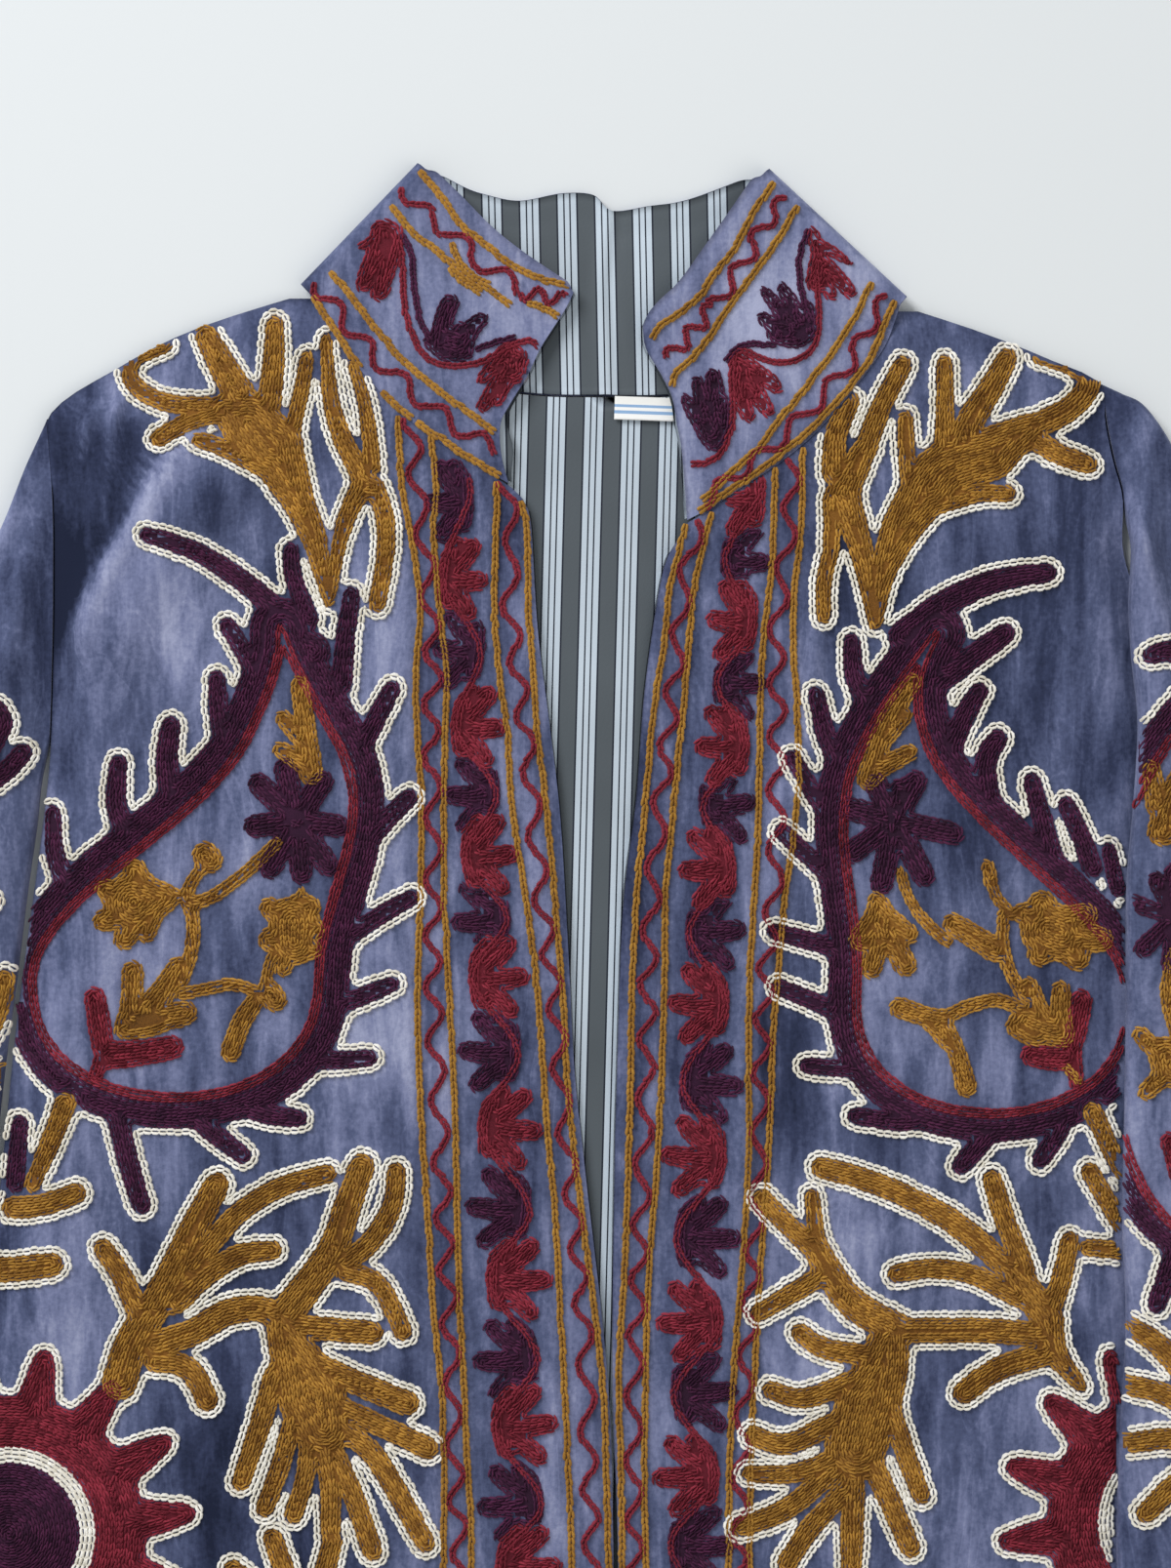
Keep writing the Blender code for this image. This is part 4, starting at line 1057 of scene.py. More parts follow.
def flower(out, down, way, size, tilt):
    """Strokes of a half flower: a curved back on the stem and three round lobes."""
    c, s = math.cos(tilt), math.sin(tilt)
    x = 0.62 + 0.38 * size
    made = []
    for w0, w1, *flat in (
        (8, 7, 4, -3, 11, -8, 15.5, -12.5), (9, 7.2, 4, 0, 13, 0.6, 20.5, 0),
        (8, 6.8, 4, 3, 11, 8, 15.5, 12.5),
        (8, 8, 3.6, -8, 2.6, 0, 3.6, 8), (7, 6, 4, -9, 7.5, -13.5),
    ):
        points = np.reshape(flat, (-1, 2)) * (x, 1.0)
        turned = np.stack((out + way * (points[:, 0] * c - points[:, 1] * s),
                           down + points[:, 0] * s + points[:, 1] * c), -1)
        made.append((w0, w1, *turned.ravel()))
    return made


for side, table, crimson_at, aubergine_at, way in (
    ("right", RIGHT_BORDER, RIGHT_CRIMSON_AT, RIGHT_AUBERGINE_AT, 1.0),
    ("left", LEFT_BORDER, LEFT_CRIMSON_AT, LEFT_AUBERGINE_AT, -1.0),
):
    surface = surfaces[side + "_front"]
    line = [[(row[i], row[0]) for row in table] for i in range(1, 8)]
    sew(side + "_border_lines", surface, ochre, [bend(line[i]) for i in (0, 2, 4, 6)],
        LINE_WIDTH, LINE_LINK, LINE_RISE, form=ROPE)
    spots = sorted([(d, 1.0) for d in crimson_at] + [(d, -1.0) for d in aubergine_at])
    stem, flowers = [], {1.0: [], -1.0: []}
    for k, (down, kind) in enumerate(spots):
        size = float(np.clip((down - 80) / 260, 0, 1))
        petals = way * kind
        middle = float(np.interp(down, [p[1] for p in line[3]], [p[0] for p in line[3]]))
        base = middle - petals * (5.0 + 3.0 * size)
        stem.append((base - petals * 0.6, down))
        flowers[kind] += flower(base, down, petals, size, 0.09 * math.sin(2.3 * k))
    box = (-95, 60, 15, 652) if way > 0 else (0, 60, 85, 652)
    petals = Drawing(*box).draw(flowers[1.0])
    dark = Drawing(*box).draw(flowers[-1.0])
    dark.depth = np.minimum(dark.depth, -petals.depth - 0.4)
    fill(side + "_crimson_flowers", surface, crimson, petals)
    fill(side + "_aubergine_flowers", surface, aubergine, dark)
    stem = [(stem[0][0], stem[0][1] - 9)] + stem + [(stem[-1][0], 646)]
    sew(side + "_border_waves", surface, crimson,
        [wave(line[1], 3.0, 22.5), wave(line[5], 3.1, 21.5), bend(stem)],
        LINE_WIDTH, WAVE_LINK, LINE_RISE, form=ROPE)

# Motifs of the right front: shoulder palmette, paisley with flame edge and a flower sprig
# inside, two palmettes below it and a toothed rosette that the side seam cuts.
# A stroke's row: its width at the start and at the end, then out and down of points along it.
RIGHT_PALMETTES = (
    (5.2, 7, -166, 21.5, -177, 26, -180, 32, -175, 39, -163, 44, -149, 45),
    (6.5, 8, -168, 57, -157, 51, -145, 47), (8, 12, -150.5, 17.5, -145, 27.5, -138, 40),
    (6.2, 9, -124.2, 13.5, -124.5, 28, -126.5, 44), (4.6, 6, -111.7, 26, -114.3, 40, -117, 52),
    (5.8, 7, -152.5, 58, -143, 61, -131, 67), (9, 22, -144, 45, -133.5, 51), (22, 23, -133.5, 51, -125, 61),
    (22, 13, -124.5, 60, -117, 77), (13, 3, -117, 77, -109, 96, -103.5, 120),
    (3.8, 8, -104.5, 19, -104, 32, -102, 46, -98, 58, -91, 71),
    (3.6, 6.5, -94.5, 29, -90.5, 42, -88.3, 55, -87.3, 68), (9, 9, -90.5, 74, -87, 76),
    (7.5, 3, -91.5, 76, -96.5, 86, -100.4, 100, -102.8, 118),
    (6.5, 6, -86.5, 75, -82.5, 86, -82, 100, -85.3, 120), (13, 12, -183, 415, -179, 402, -172, 389),
    (7, 8, -189, 364, -182, 375, -176, 388), (9, 12, -146, 340, -154, 355, -162, 372, -170, 387),
    (6.5, 8, -104, 336, -122, 341, -138, 351, -147, 361, -156, 372),
    (7, 9, -125, 365, -138, 367, -150, 374, -162, 385), (8, 8, -150, 422, -154, 413, -160, 408, -170, 407),
    (10, 9, -170, 401, -155, 396, -143, 389, -130, 387, -121, 391),
    (12, 9, -120, 389, -109, 375, -101, 362, -96.5, 348, -91, 333),
    (6.5, 8, -78, 335, -79.5, 348, -87, 361, -98, 370), (6.5, 7, -75.5, 396, -81, 384, -87, 376, -98, 373),
    (8, 9, -87, 396, -116, 394), (9, 9, -74, 423, -95.5, 414, -118, 404),
    (8, 8, -66, 440, -85, 431, -107, 421), (7, 8, -67, 476, -77.5, 457, -87, 442, -98, 433),
    (7, 8, -87, 479, -93.5, 460, -101, 443), (7, 8, -103, 471, -103, 455, -106, 438),
    (6.5, 7, -117, 465.5, -112.5, 450, -111, 434), (6.5, 7, -128, 463, -121, 444, -117, 428),
    (6.5, 8, -137, 453, -130.5, 434, -124, 412), (11, 26, -122, 392, -116, 406, -110, 420),
    (26, 22, -110, 420, -106, 432), (7.5, 8, -199, 343, -210, 347, -224, 349),
    (8.5, 9, -208, 370, -230, 373), (8, 6, -203, 309, -208, 322, -216, 340),
    (7, 8, -125, 474, -119, 490, -112, 506), (7, 8, -102, 475, -106, 490, -110, 506),
    (7, 8, -140, 486, -128, 497, -116, 510), (16, 5, -112, 506, -114, 530, -122, 556),
)


def paisley_line(tip, tall, wide, lean, hook, taper=2.0):
    """Closed outline of a paisley: a teardrop whose middle line leans, under a tip that hooks."""
    turn = np.linspace(0.0, 2 * math.pi, 61)[:-1]
    t = (1.0 - np.cos(turn)) / 2
    half = wide * np.sin(turn) * t ** (taper / 2)
    middle = tip[0] + hook * (np.clip(1.0 - t / 0.25, 0.0, 1.0) ** 2 - 1.0) + lean * smooth((t - 0.25) / 0.5)
    return [(o, d) for o, d in zip(middle + half, tip[1] + tall * t)]


RIGHT_PAISLEY = paisley_line((-122.0, 129.0), 178.0, 84.0, -44.0, -4.0)
RIGHT_FLAMES = (
    (5.5, 9, -172, 94, -154, 100, -138, 110, -124, 122, -117, 134),
    (5.5, 7, -118, 99, -117, 110, -111, 126), (6, 8, -95, 116, -97, 130, -99, 150),
    (6, 7.5, -142, 128, -135, 139, -130, 150), (6, 9, -146, 148, -145, 162, -141, 178),
    (7, 9, -163.5, 166, -165, 180, -163, 195), (6, 8, -183, 180, -184, 196, -179, 208),
    (6, 8, -208.7, 199, -207.5, 215, -202, 227), (6, 8, -79.6, 152, -86, 164, -95, 182),
    (6, 8, -73, 193, -84, 204, -92, 214), (5.5, 7, -72, 231, -86, 239, -95, 245),
    (5.5, 7, -79.6, 264, -92, 269, -102, 272), (5.5, 7, -88, 292, -104, 293, -114, 291),
    (6, 8, -114.7, 315, -128, 313, -138, 309), (6, 8, -136, 329, -147, 321, -156, 312),
    (6.5, 8, -174.6, 348, -180, 330, -184, 311), (6.5, 7, -221, 317, -223, 340),
    (12, 14, -116, 134, -110, 138),
)
RIGHT_SPRIG = (
    (6.5, 9, -114.7, 150, -113, 163, -110.5, 184), (6, 7, -121, 163, -113, 172),
    (6, 8, -122, 175, -112, 181), (24, 6, -177, 233, -170, 232, -162, 230.5), (12, 9, -174, 230, -177, 221),
    (11, 8, -178, 232, -188, 228), (11, 8, -178, 236, -189, 240), (10, 8, -176, 238, -181, 247),
    (9, 7, -171, 238, -173, 245), (10, 10, -150.5, 215, -149, 217),
    (4.5, 5, -152, 220, -156, 226, -158, 232),
    (5, 4.5, -157, 234, -148, 231, -138, 224, -130, 217, -123, 210),
    (5, 5, -156, 234, -155, 245, -157, 256, -160, 264), (7, 11, -161, 257, -166, 266, -172, 274),
    (8, 8, -178, 259, -178, 268, -179, 276), (10, 9, -179, 277, -168, 277, -158, 275),
    (8, 6, -181, 281, -170, 280, -160, 275), (4.5, 4.5, -160, 268, -150, 266, -140, 264, -131, 267),
    (7, 7.5, -132, 271, -137, 279, -141, 290), (9, 9, -126, 267, -124, 270),
    (4, 4, -128, 266, -126, 256, -123, 250), (19, 18, -117, 240, -117, 248), (8, 8, -126, 235, -121, 238),
    (9, 9, -126, 247, -120, 246), (7, 7, -121, 258, -119, 250), (8, 8, -109, 243, -114, 243),
    (9, 9, -111, 235, -115, 239), (7, 7, -109.5, 251, -114, 247), (4, 5, -114, 229, -115, 236),
)
RIGHT_BLOOM = tuple((8.4, 9.0, o, d, -115.8, 202) for o, d in (
    (-120, 182), (-106, 187), (-130, 188), (-132, 204), (-100, 204), (-126, 220), (-104, 219), (-114, 222)))
RIGHT_LEAVES = (
    (8, 8, -192, 269, -189, 288), (9, 10, -163, 288, -174, 290, -186, 291), (6, 5, -189, 292, -192, 299),
)
ROSETTES = {"right": (-225.0, 472.5), "left": (221.0, 468.0)}
TEETH = 15
OUTLINE_AT = -1.75             # the cream line's middle, outside the other stitches


def rosette(drawing, centre, turn):
    """A toothed crimson ring: pointed teeth on an annulus, and the heart and rings inside it."""
    o, d = centre
    far = np.hypot(drawing.out - o, drawing.down - d)
    teeth = []
    for k in range(TEETH):
        a = turn + k * 2 * math.pi / TEETH
        ends = [(o + r * math.cos(a), d + r * math.sin(a)) for r in (42, 68)]
        teeth.append((19, 6.5, *ends[0], *ends[1]))
    drawing.draw(teeth)
    drawing.depth = np.maximum(drawing.depth, 52.0 - far)
    heart = drawing.copy(27.0 - far)
    drawing.depth = np.minimum(drawing.depth, far - 33.0)
    a = np.linspace(0, 2 * math.pi, 80)
    rings = [np.stack((o + r * np.cos(a), d + r * np.sin(a)), -1) for r in (28.4, 30.1, 31.8)]
    return heart, rings


def motifs(side, box, palmettes, paisley, flames, sprig, bloom, leaves, turn, stop):
    """All motifs of one front, each colour filled, with one cream line round them."""
    surface = surfaces[side + "_front"]
    gold = Drawing(*box).draw(palmettes)
    beyond = outside_of(paisley, gold)
    band = gold.copy(np.minimum(beyond - 2.1, stop - beyond)).draw(flames)
    band.depth = np.minimum(band.depth, beyond - 2.1)
    band.depth = np.minimum(band.depth, -gold.depth - 0.5)
    teeth = Drawing(*box)
    heart, rings = rosette(teeth, ROSETTES[side], turn)
    fill(side + "_front_palmettes", surface, ochre, gold)
    fill(side + "_front_paisley", surface, aubergine, band)
    edge = gold.copy(beyond)
    sew(side + "_front_paisley_rows", surface, crimson, contours(edge, 1.05) + contours(edge, -1.0),
        FILL_ROW * 1.15, FILL_LINK, FILL_RISE * 1.1)
    fill(side + "_front_sprig", surface, ochre, Drawing(*box).draw(sprig))
    fill(side + "_front_bloom", surface, aubergine, Drawing(*box).draw(bloom))
    fill(side + "_front_leaves", surface, crimson, Drawing(*box).draw(leaves))
    fill(side + "_front_rosette", surface, crimson, teeth)
    if side == "right":  # the left rosette's heart is past the side seam
        fill(side + "_front_rosette_heart", surface, aubergine, heart)
    ring = np.hypot(gold.out - ROSETTES[side][0], gold.down - ROSETTES[side][1])
    both = np.maximum.reduce((gold.depth, band.depth, -beyond, teeth.depth, 50.0 - ring))
    sew(side + "_front_cream", surface, cream, contours(gold.copy(both), OUTLINE_AT) + rings,
        CREAM_WIDTH, CREAM_LINK, CREAM_RISE, form=LOOP)


motifs("right", (-262, 5, -60, 600), RIGHT_PALMETTES, RIGHT_PAISLEY, RIGHT_FLAMES, RIGHT_SPRIG, RIGHT_BLOOM,
       RIGHT_LEAVES, -0.113, 11.5)

# Motifs of the left front. They mirror the right ones only roughly, as work without a pattern
# does, and the sleeve lies over their outer side.
LEFT_PALMETTES = (
    (7.5, 9, 167, 25, 179, 29, 185, 36, 177, 46, 165, 52), (6.5, 8, 184.5, 67, 175, 64, 165, 58),
    (7, 11, 154, 26, 148, 37, 140, 50, 137, 58), (5.5, 7.5, 130, 28, 130, 42, 130, 60),
    (5.5, 6.5, 115, 49, 115.5, 62, 117, 76), (6, 7, 154, 78, 142, 78, 128, 82),
    (9, 20, 165, 52, 156, 57, 147, 63), (20, 21, 147, 63, 131, 68, 124, 76),
    (19, 3, 122, 78, 113, 92, 106, 110, 104, 128), (6.5, 8, 114, 29, 106, 45, 99.5, 62),
    (7, 9, 94, 43, 88.5, 56, 88, 70), (9, 12, 99, 62, 91, 78), (6, 5, 87, 80, 87, 98, 84, 111, 84, 125),
    (12, 4, 92, 80, 96, 92, 100, 106, 103.5, 128),
    (7.5, 9, 83, 333.5, 102, 339, 123.5, 348.5, 139.5, 359, 153, 371), (7, 8, 148, 338, 153, 354, 160, 372),
    (6.5, 7.5, 111.5, 374, 124, 372, 140, 374, 158, 383), (6.5, 8, 177.5, 361, 174.5, 375, 170, 388),
    (11, 12, 156, 373, 169, 391), (12, 4, 169, 391, 172, 404, 182, 417),
    (8, 9, 137, 419, 150, 410, 168, 404), (9, 9, 166, 397, 145, 395.5, 124, 395.5, 108, 395.5),
    (12, 9.5, 110, 394, 95, 385, 86, 373, 80, 362), (6.5, 8, 60.5, 345, 70, 355, 80, 364),
    (5, 6, 79.5, 344, 81, 357, 82, 365), (6, 7.5, 59, 389, 70, 382.5, 84, 374),
    (6.5, 8, 75, 396, 84, 402, 104, 405), (6.5, 8, 64, 418, 76, 421, 96, 414),
    (7, 8, 57.5, 435, 70, 438.5, 92, 428), (5.5, 8, 55.5, 449.5, 73.5, 449.5, 92, 442),
    (7, 8, 52.5, 470, 70, 463, 88, 448), (7, 8, 70, 484, 79, 470, 92, 456), (7.5, 9, 94.5, 485, 95, 452),
    (7, 8.5, 117, 478, 109, 460, 101, 443), (6.5, 8, 121, 458, 115, 442, 108, 422),
    (14, 25, 109, 398, 106, 410, 101, 422), (25, 23, 101, 422, 96, 440), (6.5, 7, 185, 335, 197, 355),
    (6, 6.5, 184, 364, 196, 365), (7, 6, 186, 312, 197, 335),
)
LEFT_PAISLEY = paisley_line((127.0, 131.0), 182.0, 84.0, 37.0, 16.0, taper=2.4)
LEFT_FLAMES = (
    (6.5, 11, 169, 108, 150, 111, 131, 119, 114, 132), (6, 8, 94.7, 134, 96, 148, 103, 160),
    (6, 8, 81, 154, 86, 172, 95, 186), (5.5, 7, 72, 178, 82, 194, 90, 204),
    (5.5, 7, 68, 206, 80, 217, 88, 224), (5.5, 7, 65, 244, 80, 248, 88, 250),
    (5.5, 7, 67, 265, 86, 273, 96, 277), (5.5, 7, 77.7, 295, 94, 296, 106, 294),
    (6, 8, 96, 314, 116, 316, 130, 311), (6.5, 8.5, 136, 333, 144.5, 323, 152, 314),
    (6, 8, 166, 331, 173, 320, 176, 308), (7, 10, 153, 131, 140, 140, 127, 149),
    (6.5, 9, 143, 153, 138, 161, 131, 176), (7, 10, 150, 171, 145, 181, 148, 204),
    (6, 8, 163, 187, 167, 202, 170, 214), (6, 7.5, 176, 196, 182, 209, 186, 220),
    (5, 6, 192, 213, 195.5, 228), (12, 12, 118, 134, 124, 132),
)
LEFT_SPRIG = (
    (6.5, 9, 118, 149, 108, 165, 101, 186), (6, 8, 115, 162, 107, 170), (6, 8, 117, 176, 105, 182),
    (5, 14, 104, 231, 106, 240), (10, 9, 104, 240, 98, 247), (9, 8, 105, 246, 102, 258),
    (9, 8.5, 109, 246, 115, 257), (9, 8, 109, 240, 116, 245), (12, 12, 106, 242, 107, 246),
    (3.6, 4.6, 113, 221, 115, 228, 119, 236, 125, 243, 131, 248), (8, 9.5, 133, 241, 141, 246, 149, 251),
    (5, 5, 146, 219, 147.5, 225), (4, 4, 147.5, 225, 150, 232, 154, 236),
    (3.8, 5, 153, 237, 158, 238, 162, 239), (4.4, 5, 152, 238, 152, 250, 155, 260, 160, 268),
    (21, 21, 169, 243, 174, 245), (12, 11, 169, 240, 167, 234), (12, 10, 176, 241, 183, 238),
    (12, 10, 178, 246, 189, 247), (12, 10, 176, 249, 180, 254), (11, 9, 167, 248, 166, 253),
    (9, 8, 164, 240, 160, 237), (6, 8, 162, 264, 165, 272, 168, 278), (7, 8, 174, 266, 174, 276, 175, 284),
    (12, 12, 161, 278, 168, 281, 173, 282), (8, 8, 157, 280, 164, 284),
    (5, 5, 131, 276, 140, 272, 150, 270, 160, 274), (8, 6.5, 113, 273, 122, 276, 130, 277),
    (5, 8, 130, 279, 134, 288, 138, 303), (4, 4, 122, 278, 127, 283, 131, 288),
    (3.4, 3.4, 176, 296, 181, 301),
)
LEFT_BLOOM = tuple((8.4, 9.0, o, d, 110.6, 202) for o, d in (
    (104, 188), (119, 187), (93, 197), (133, 207), (95, 214), (122, 223), (106, 226), (113, 190)))
LEFT_LEAVES = (
    (8, 8, 182, 270, 180, 280, 178, 289), (8.5, 9.5, 163, 291, 170, 292, 176, 292),
    (6, 5, 179, 293, 180, 302),
)
motifs("left", (45, 5, 232, 600), LEFT_PALMETTES, LEFT_PAISLEY, LEFT_FLAMES, LEFT_SPRIG, LEFT_BLOOM,
       LEFT_LEAVES, -1.99, 10.5)

# Collar embroidery. Two ochre lines with a crimson zigzag along the top edge and along the neck
# seam, and between them the vine with half flowers, looser than on the fronts.
RIGHT_COLLAR_LINES = (
    (-69.5, -44, -63, -37, -58, -30, -52, -22, -45, -17, -38, -11, -30, -6, -22, -3, -13, -1),
    (-80, -31, -72, -21, -64, -15, -57, -9, -51, -4, -44, 0, -38, 4, -35, 6.5),
    (-28.5, 6, -23, 7.5, -17, 11), (-57, -17, -54, -10, -49, -4.5, -43, -1), (-58, -7.5, -52, -1.5, -46, 2),
    (-103, -6, -97, 1, -91, 9, -83, 19, -75, 28, -67, 35, -58, 42, -50, 48, -41, 54.5),
    (-111, 1, -106, 8.5, -100, 18, -93, 28.5, -86, 37, -77, 45.6, -68, 52.4, -59, 58.6, -50, 64.5, -42,
     69.4, -37, 72.4),
)
# Waves: reach to each side, length of one swing, then out and down of points along the middle
RIGHT_COLLAR_WAVES = (
    (3.0, 19, -76, -38, -66, -27, -55, -19, -46, -9, -36, -3, -31, 1), (3.0, 9.5, -31, 2, -24, 3, -14, 5),
    (3.1, 18.2, -109, -2, -99.5, 10, -89, 23, -77, 35, -64, 46, -50, 56, -40, 61),
)
RIGHT_COLLAR_STEMS = (
    (-77, -18, -75.5, -8, -75, 5, -73, 15, -68, 25, -60, 29.5, -50, 29.5, -43, 27, -37, 23, -28, 20,
     -24, 22.5),
)
RIGHT_DARK_STEMS = ((-76, -20, -72, -12, -71, 0, -69, 12, -65, 20), (-48, 24, -40, 20.5, -33, 19))
RIGHT_COLLAR_CRIMSON = (
    (5, 2, -82, -22, -88, -17, -94, -14), (11, 6, -82, -20, -86, -10, -90.5, -1),
    (10, 7, -80, -18, -82, -8, -84.5, 2), (5, 4, -78, -21, -79.5, -8), (7, 7, -84, -22, -79, -20),
    (9, 4, -35, 25, -42, 31, -46, 35), (8, 4.5, -33, 28, -40, 37, -45.5, 45.5),
    (8, 4, -32, 27, -37, 37, -40, 44), (9, 9, -36, 26, -33, 32),
)
RIGHT_COLLAR_AUBERGINE = (
    (7.5, 7, -62, 22, -60, 12, -57.5, 6), (7.5, 5.5, -53, 22, -49, 15, -45.5, 12),
    (6, 3.5, -57, 22, -54, 17, -53, 14), (4, 7, -66, 20, -60, 25, -52, 24.5), (11, 11, -59, 20, -55, 21),
)
LEFT_COLLAR_LINES = (
    (65, -40, 57, -28, 51, -16, 43, -6, 37, 3, 29, 10, 22, 14.5, 19, 19),
    (74, -31, 69, -22, 63, -13, 57, -5, 52, 2, 46, 10, 41, 18, 35, 26, 28, 32.5, 26.5, 37),
    (102, -2, 97, 9, 92, 17, 87, 25, 80, 34, 74, 42, 67, 50, 60, 60, 52, 67, 44, 75, 38, 80),
    (111, 5, 107, 14, 103, 24, 98, 32, 91, 40.5, 84, 48.5, 76, 56.5, 68, 62.5, 60, 69, 52, 74.5, 44,
     80, 37, 84.5),
)
LEFT_COLLAR_WAVES = (
    (3.0, 15.5, 70, -34, 61, -23, 55, -12, 48, -1, 42, 7), (3.2, 11, 42, 7, 34, 17, 25, 27),
    (2.8, 18.2, 108, 3, 100, 17, 92, 31, 82, 42.5, 72, 53, 62, 62.5, 50, 71.5, 38, 81),
)
LEFT_COLLAR_STEMS = (
    (81, -4, 82, 6, 82, 16, 79, 24, 71, 28.5, 62, 27.5, 54, 24, 50, 26, 49, 34, 49.5, 46, 48, 56, 43,
     65, 34, 67),
)
LEFT_DARK_STEMS = ((78, -22, 75, -12, 75, -2, 77, 8, 79, 13), (66, 22, 58, 21.5, 51.5, 22.5, 47, 28))
LEFT_COLLAR_CRIMSON = (
    (5, 2.5, 82, -16, 88, -13, 94, -9), (7, 5, 82, -10, 89, -4, 94, 2), (6, 4.5, 81, -8, 84, -2, 87, 3),
    (4, 8, 79.5, -21, 82, -12, 81, -2), (8, 5, 52, 29, 60, 33, 66, 38), (9, 5, 53, 33, 59, 41, 63, 47),
    (8, 5, 52, 35, 53, 43, 55.5, 49), (7, 7, 51, 28, 54, 32),
)
LEFT_COLLAR_AUBERGINE = (
    (8, 3.5, 73, 15, 66, 7, 61, 1), (8, 4, 75, 13, 71, 5, 68, 0), (10, 4, 70, 17, 64, 14, 60.5, 11),
    (6, 4, 78, 16, 79, 10, 77, 6), (7, 6, 66, 18, 74, 20, 79, 16), (8, 6, 45, 52, 43, 42, 42, 33.5),
    (9, 4.5, 42, 55, 38, 44, 36, 35.5), (9, 4, 41, 56, 36, 49, 31.5, 42), (6, 5, 46, 44, 45.5, 55, 42, 60),
)


def lines_of(table):
    """Smooth lines through rows of out and down."""
    return [bend(np.reshape(flat, (-1, 2))) for flat in table]


for side, lines, waves, stems, shades, red, dark in (
    ("right", RIGHT_COLLAR_LINES, RIGHT_COLLAR_WAVES, RIGHT_COLLAR_STEMS, RIGHT_DARK_STEMS,
     RIGHT_COLLAR_CRIMSON, RIGHT_COLLAR_AUBERGINE),
    ("left", LEFT_COLLAR_LINES, LEFT_COLLAR_WAVES, LEFT_COLLAR_STEMS, LEFT_DARK_STEMS,
     LEFT_COLLAR_CRIMSON, LEFT_COLLAR_AUBERGINE),
):
    surface = surfaces["collar"]
    sew(side + "_collar_lines", surface, ochre, lines_of(lines),
        LINE_WIDTH * 1.08, LINE_LINK, LINE_RISE, form=ROPE)
    zigzags = [wave(np.reshape(flat, (-1, 2)), reach, period) for reach, period, *flat in waves]
    sew(side + "_collar_stems", surface, aubergine, lines_of(shades),
        LINE_WIDTH, LINE_LINK, LINE_RISE, form=ROPE)
    sew(side + "_collar_waves", surface, crimson, zigzags + lines_of(stems),
        LINE_WIDTH, WAVE_LINK, LINE_RISE, form=ROPE)
    box = (-112, -50, -10, 80) if side == "right" else (12, -50, 114, 92)
    fill(side + "_collar_crimson", surface, crimson, Drawing(*box).draw(red))
    fill(side + "_collar_aubergine", surface, aubergine, Drawing(*box).draw(dark))

# Label. Damask-woven white tape with pale blue bands, left bare, its upper edge caught in the
# back neck seam so that it lies over the lining.
LABEL_AT, LABEL_SIZE, LABEL_TURN = (16.2, 45.4), (23.0, 9.0), math.radians(-2.0)
tape = material("woven_label_tape")     # smooth close weave, white with pale blue bands
tape_at = node(tape, "UVMap", uv_map="lay").outputs[0]
tape_row = node(tape, "SeparateXYZ", {0: tape_at}).outputs["Y"]
bands = ramp(tape, tape_row, (0.0, "#f0efe9"), (0.34, "#86a9cf"), (0.46, "#f3f2ee"), (0.60, "#86a9cf"),
             (0.74, "#f3f2ee"), stepped=True)
picks = node(tape, "TexWave", {"Vector": tape_at}, Scale=26.0, Distortion=0.0, bands_direction="X")
weave = node(tape, "Bump", {"Height": picks.outputs["Fac"]}, Strength=0.25, Distance=0.0002).outputs[0]
finish_with(tape, node(tape, "BsdfPrincipled", {"Base Color": bands, "Normal": weave}, Roughness=0.55))
u, v = np.meshgrid(np.linspace(0, 1, 25), np.linspace(0, 1, 13))
wide, deep = (u - 0.5) * LABEL_SIZE[0], (v - 0.5) * LABEL_SIZE[1]
out = LABEL_AT[0] + wide * math.cos(LABEL_TURN) + deep * math.sin(LABEL_TURN)
down = LABEL_AT[1] + deep * math.cos(LABEL_TURN) - wide * math.sin(LABEL_TURN)
curl = 3.75 + 0.9 * v**2 + 0.35 * np.sin(2.4 * u + 0.4) * v
grid = np.arange(u.size).reshape(u.shape)
faces = [np.stack((g[:-1, :-1], g[1:, :-1], g[1:, 1:], g[:-1, 1:]), -1).reshape(-1, 4)
         for g in (grid, grid[:, ::-1] + u.size)]
points = np.concatenate((place(out, down, curl + 0.5).reshape(-1, 3), place(out, down, curl).reshape(-1, 3)))
rim = np.concatenate((grid[0], grid[1:, -1], grid[-1, :-1][::-1], grid[1:-1, 0][::-1]))
around = np.roll(rim, -1)
faces.append(np.stack((rim, around, around + u.size, rim + u.size), -1))
label = mesh_object("woven_label", points, np.concatenate(faces), tape,
                    uv=np.tile(np.stack((u.ravel(), v.ravel()), -1), (2, 1)))
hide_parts("label")
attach(label, "root")

# Sleeve embroidery. Each sleeve has the paisley, a palmette and the same colours; only its part
# next to the body shows in the picture, and it goes on round the tube's upper side.
LEFT_SLEEVE_PAISLEY = paisley_line((236.0, 146.0), 214.0, 50.0, 11.0, 16.0, taper=1.0)
LEFT_SLEEVE_FLAMES = (
    (6, 10, 206, 140, 214, 138, 226, 146), (6, 9, 262, 170, 250, 180, 244, 192),
    (6, 8, 280, 206, 266, 216, 256, 228), (6, 8, 288, 244, 276, 250, 264, 258),
    (6, 8, 292, 286, 278, 288, 266, 288), (6, 8, 288, 328, 274, 322, 262, 316),
    (6, 8, 272, 366, 262, 354, 254, 342), (6, 8, 236, 384, 236, 370, 234, 358),
    (6, 8, 208, 384, 212, 372, 216, 360), (8, 8, 226, 146, 236, 150),
)
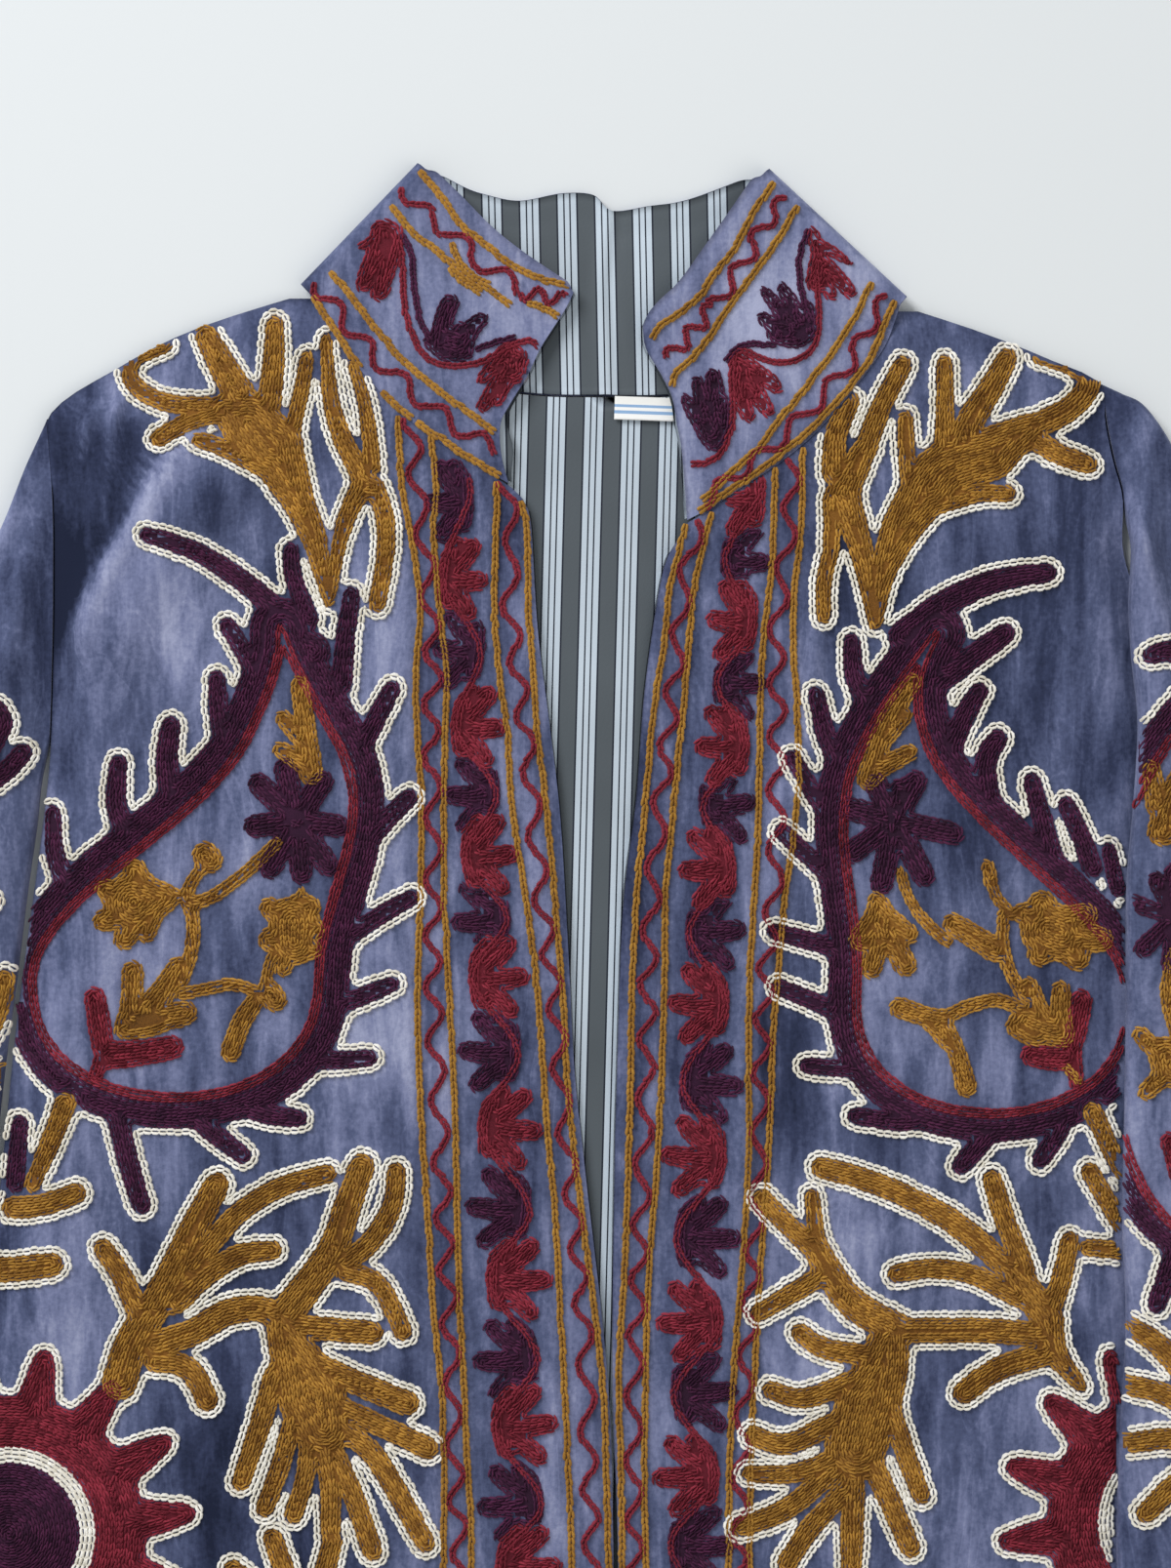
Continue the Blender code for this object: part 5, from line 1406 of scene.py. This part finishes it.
LEFT_SLEEVE_SPRIG = (
    (8, 11, 222, 178, 214, 192, 210, 206), (6, 8, 206, 182, 208, 196), (6, 8, 222, 200, 214, 206),
    (5, 5, 214, 252, 212, 268, 216, 284), (14, 16, 212, 290, 214, 294), (6, 8, 202, 282, 210, 290),
    (6, 8, 224, 284, 216, 290), (6, 8, 204, 304, 211, 297), (5, 5, 216, 298, 224, 306, 234, 306),
    (14, 16, 242, 300, 243, 303), (6, 8, 252, 292, 245, 299),
)
LEFT_SLEEVE_BLOOM = tuple((6.8, 5.2, o, d, 214, 238) for o, d in (
    (208, 224), (221, 224), (200, 233), (230, 236), (203, 250), (224, 251), (213, 256), (214, 221)))
LEFT_SLEEVE_LEAVES = ((7, 7, 213, 322, 218, 340), (7, 7, 234, 330, 220, 342))
LEFT_SLEEVE_PALMETTE = (
    (7, 9, 198, 392, 208, 398, 220, 410), (7, 8, 196, 414, 208, 416, 220, 422),
    (7, 8, 197, 436, 210, 434, 222, 434), (7, 9, 222, 388, 226, 400, 230, 416),
    (7, 8, 252, 392, 246, 404, 236, 418), (7, 8, 270, 408, 256, 418, 240, 426),
    (20, 24, 230, 418, 230, 436), (7, 9, 276, 436, 258, 440, 240, 440),
    (7, 9, 204, 462, 214, 452, 224, 444), (7, 9, 262, 466, 250, 456, 238, 446),
    (7, 9, 232, 476, 231, 456, 230, 440),
)
RIGHT_SLEEVE_PAISLEY = (
    (-233, 165), (-240, 180), (-246, 200), (-250, 226), (-262, 250), (-280, 262), (-296, 262), (-300, 244),
    (-294, 224), (-282, 206), (-266, 190), (-250, 176),
)
RIGHT_SLEEVE_FLAMES = (
    (6.5, 8, -219, 176, -225, 183, -236, 190), (6.5, 8, -232, 232, -242, 230, -252, 224),
    (7, 7, -246, 152, -240, 160, -236, 168), (6, 8, -238, 264, -250, 262, -262, 256),
    (6, 8, -262, 286, -268, 276, -276, 266), (6, 8, -268, 168, -264, 176, -260, 184),
)
RIGHT_SLEEVE_PALMETTE = (
    (7, 9, -226, 262, -230, 276, -238, 290), (7, 8, -222, 296, -230, 298, -240, 300),
    (7, 9, -248, 276, -246, 288, -244, 300), (18, 20, -244, 300, -246, 316),
    (7, 8, -228, 326, -236, 320, -244, 314), (7, 9, -232, 346, -240, 334, -246, 322),
    (7, 9, -272, 306, -260, 310, -250, 312), (7, 9, -268, 336, -258, 328, -250, 320),
)


def sleeve_motifs(side, box, paisley, flames, palmette, sprig, bloom, leaves):
    """The motifs of one sleeve, each colour filled, with one cream line round them."""
    surface = surfaces[side + "_sleeve"]
    gold = Drawing(*box).draw(palmette)
    beyond = outside_of(paisley, gold)
    band = gold.copy(np.minimum(beyond - 2.1, 10.0 - beyond)).draw(flames)
    band.depth = np.minimum(np.minimum(band.depth, beyond - 2.1), -gold.depth - 0.5)
    fill(side + "_sleeve_palmette", surface, ochre, gold)
    fill(side + "_sleeve_paisley", surface, aubergine, band)
    edge = gold.copy(beyond)
    rows = contours(edge, 1.05) + contours(edge, -1.0)
    sew(side + "_sleeve_paisley_rows", surface, crimson, rows, FILL_ROW * 1.15, FILL_LINK, FILL_RISE * 1.1)
    for name, yarn, strokes in (
        ("sprig", ochre, sprig), ("bloom", aubergine, bloom), ("leaves", crimson, leaves),
    ):
        if strokes:
            fill(side + "_sleeve_" + name, surface, yarn, Drawing(*box).draw(strokes))
    both = np.maximum.reduce((gold.depth, band.depth, -beyond))
    sew(side + "_sleeve_cream", surface, cream, contours(gold.copy(both), OUTLINE_AT),
        CREAM_WIDTH, CREAM_LINK, CREAM_RISE, form=LOOP)


sleeve_motifs("left", (188, 120, 310, 500), LEFT_SLEEVE_PAISLEY, LEFT_SLEEVE_FLAMES, LEFT_SLEEVE_PALMETTE,
              LEFT_SLEEVE_SPRIG, LEFT_SLEEVE_BLOOM, LEFT_SLEEVE_LEAVES)
sleeve_motifs("right", (-312, 130, -205, 380), RIGHT_SLEEVE_PAISLEY, RIGHT_SLEEVE_FLAMES,
              RIGHT_SLEEVE_PALMETTE, (), (), ())

# Floor and light. The jacket lies on a plain pale table. Light comes from a window at the upper
# left and more weakly from the room at the other side.
floor_mat = material("pale_table")     # matt paint, nearly white
floor_shader = node(floor_mat, "BsdfPrincipled", Roughness=0.85)
floor_shader.inputs["Base Color"].default_value = linear("#dfe2e2")
finish_with(floor_mat, floor_shader)
floor = mesh_object("floor", [(-4, -4, 0), (4, -4, 0), (4, 4, 0), (-4, 4, 0)], [(0, 1, 2, 3)], floor_mat)


def lamp(name, size, power, where, colour):
    """A round soft lamp that points at the collar."""
    data = bpy.data.lights.new(name, "AREA")
    data.shape, data.size, data.energy = "DISK", size, power
    data.color = linear(colour)[:3]
    obj = bpy.data.objects.new(name, data)
    obj.location = where
    obj.rotation_euler = (Vector((0.0, 0.1, 0.0)) - Vector(where)).to_track_quat("-Z", "Y").to_euler()
    bpy.context.scene.collection.objects.link(obj)


lamp("window", 1.3, 46.0, (-1.3, 1.5, 1.7), "#fbfcff")
lamp("room", 2.2, 14.0, (1.5, -0.8, 2.2), "#fff6ec")
world = bpy.data.worlds.new("soft_room")
bpy.context.scene.world = world
world.use_nodes = True
world.node_tree.nodes["Background"].inputs["Color"].default_value = linear("#e9eef2")
world.node_tree.nodes["Background"].inputs["Strength"].default_value = 0.55
bpy.context.scene.view_settings.view_transform = "Standard"
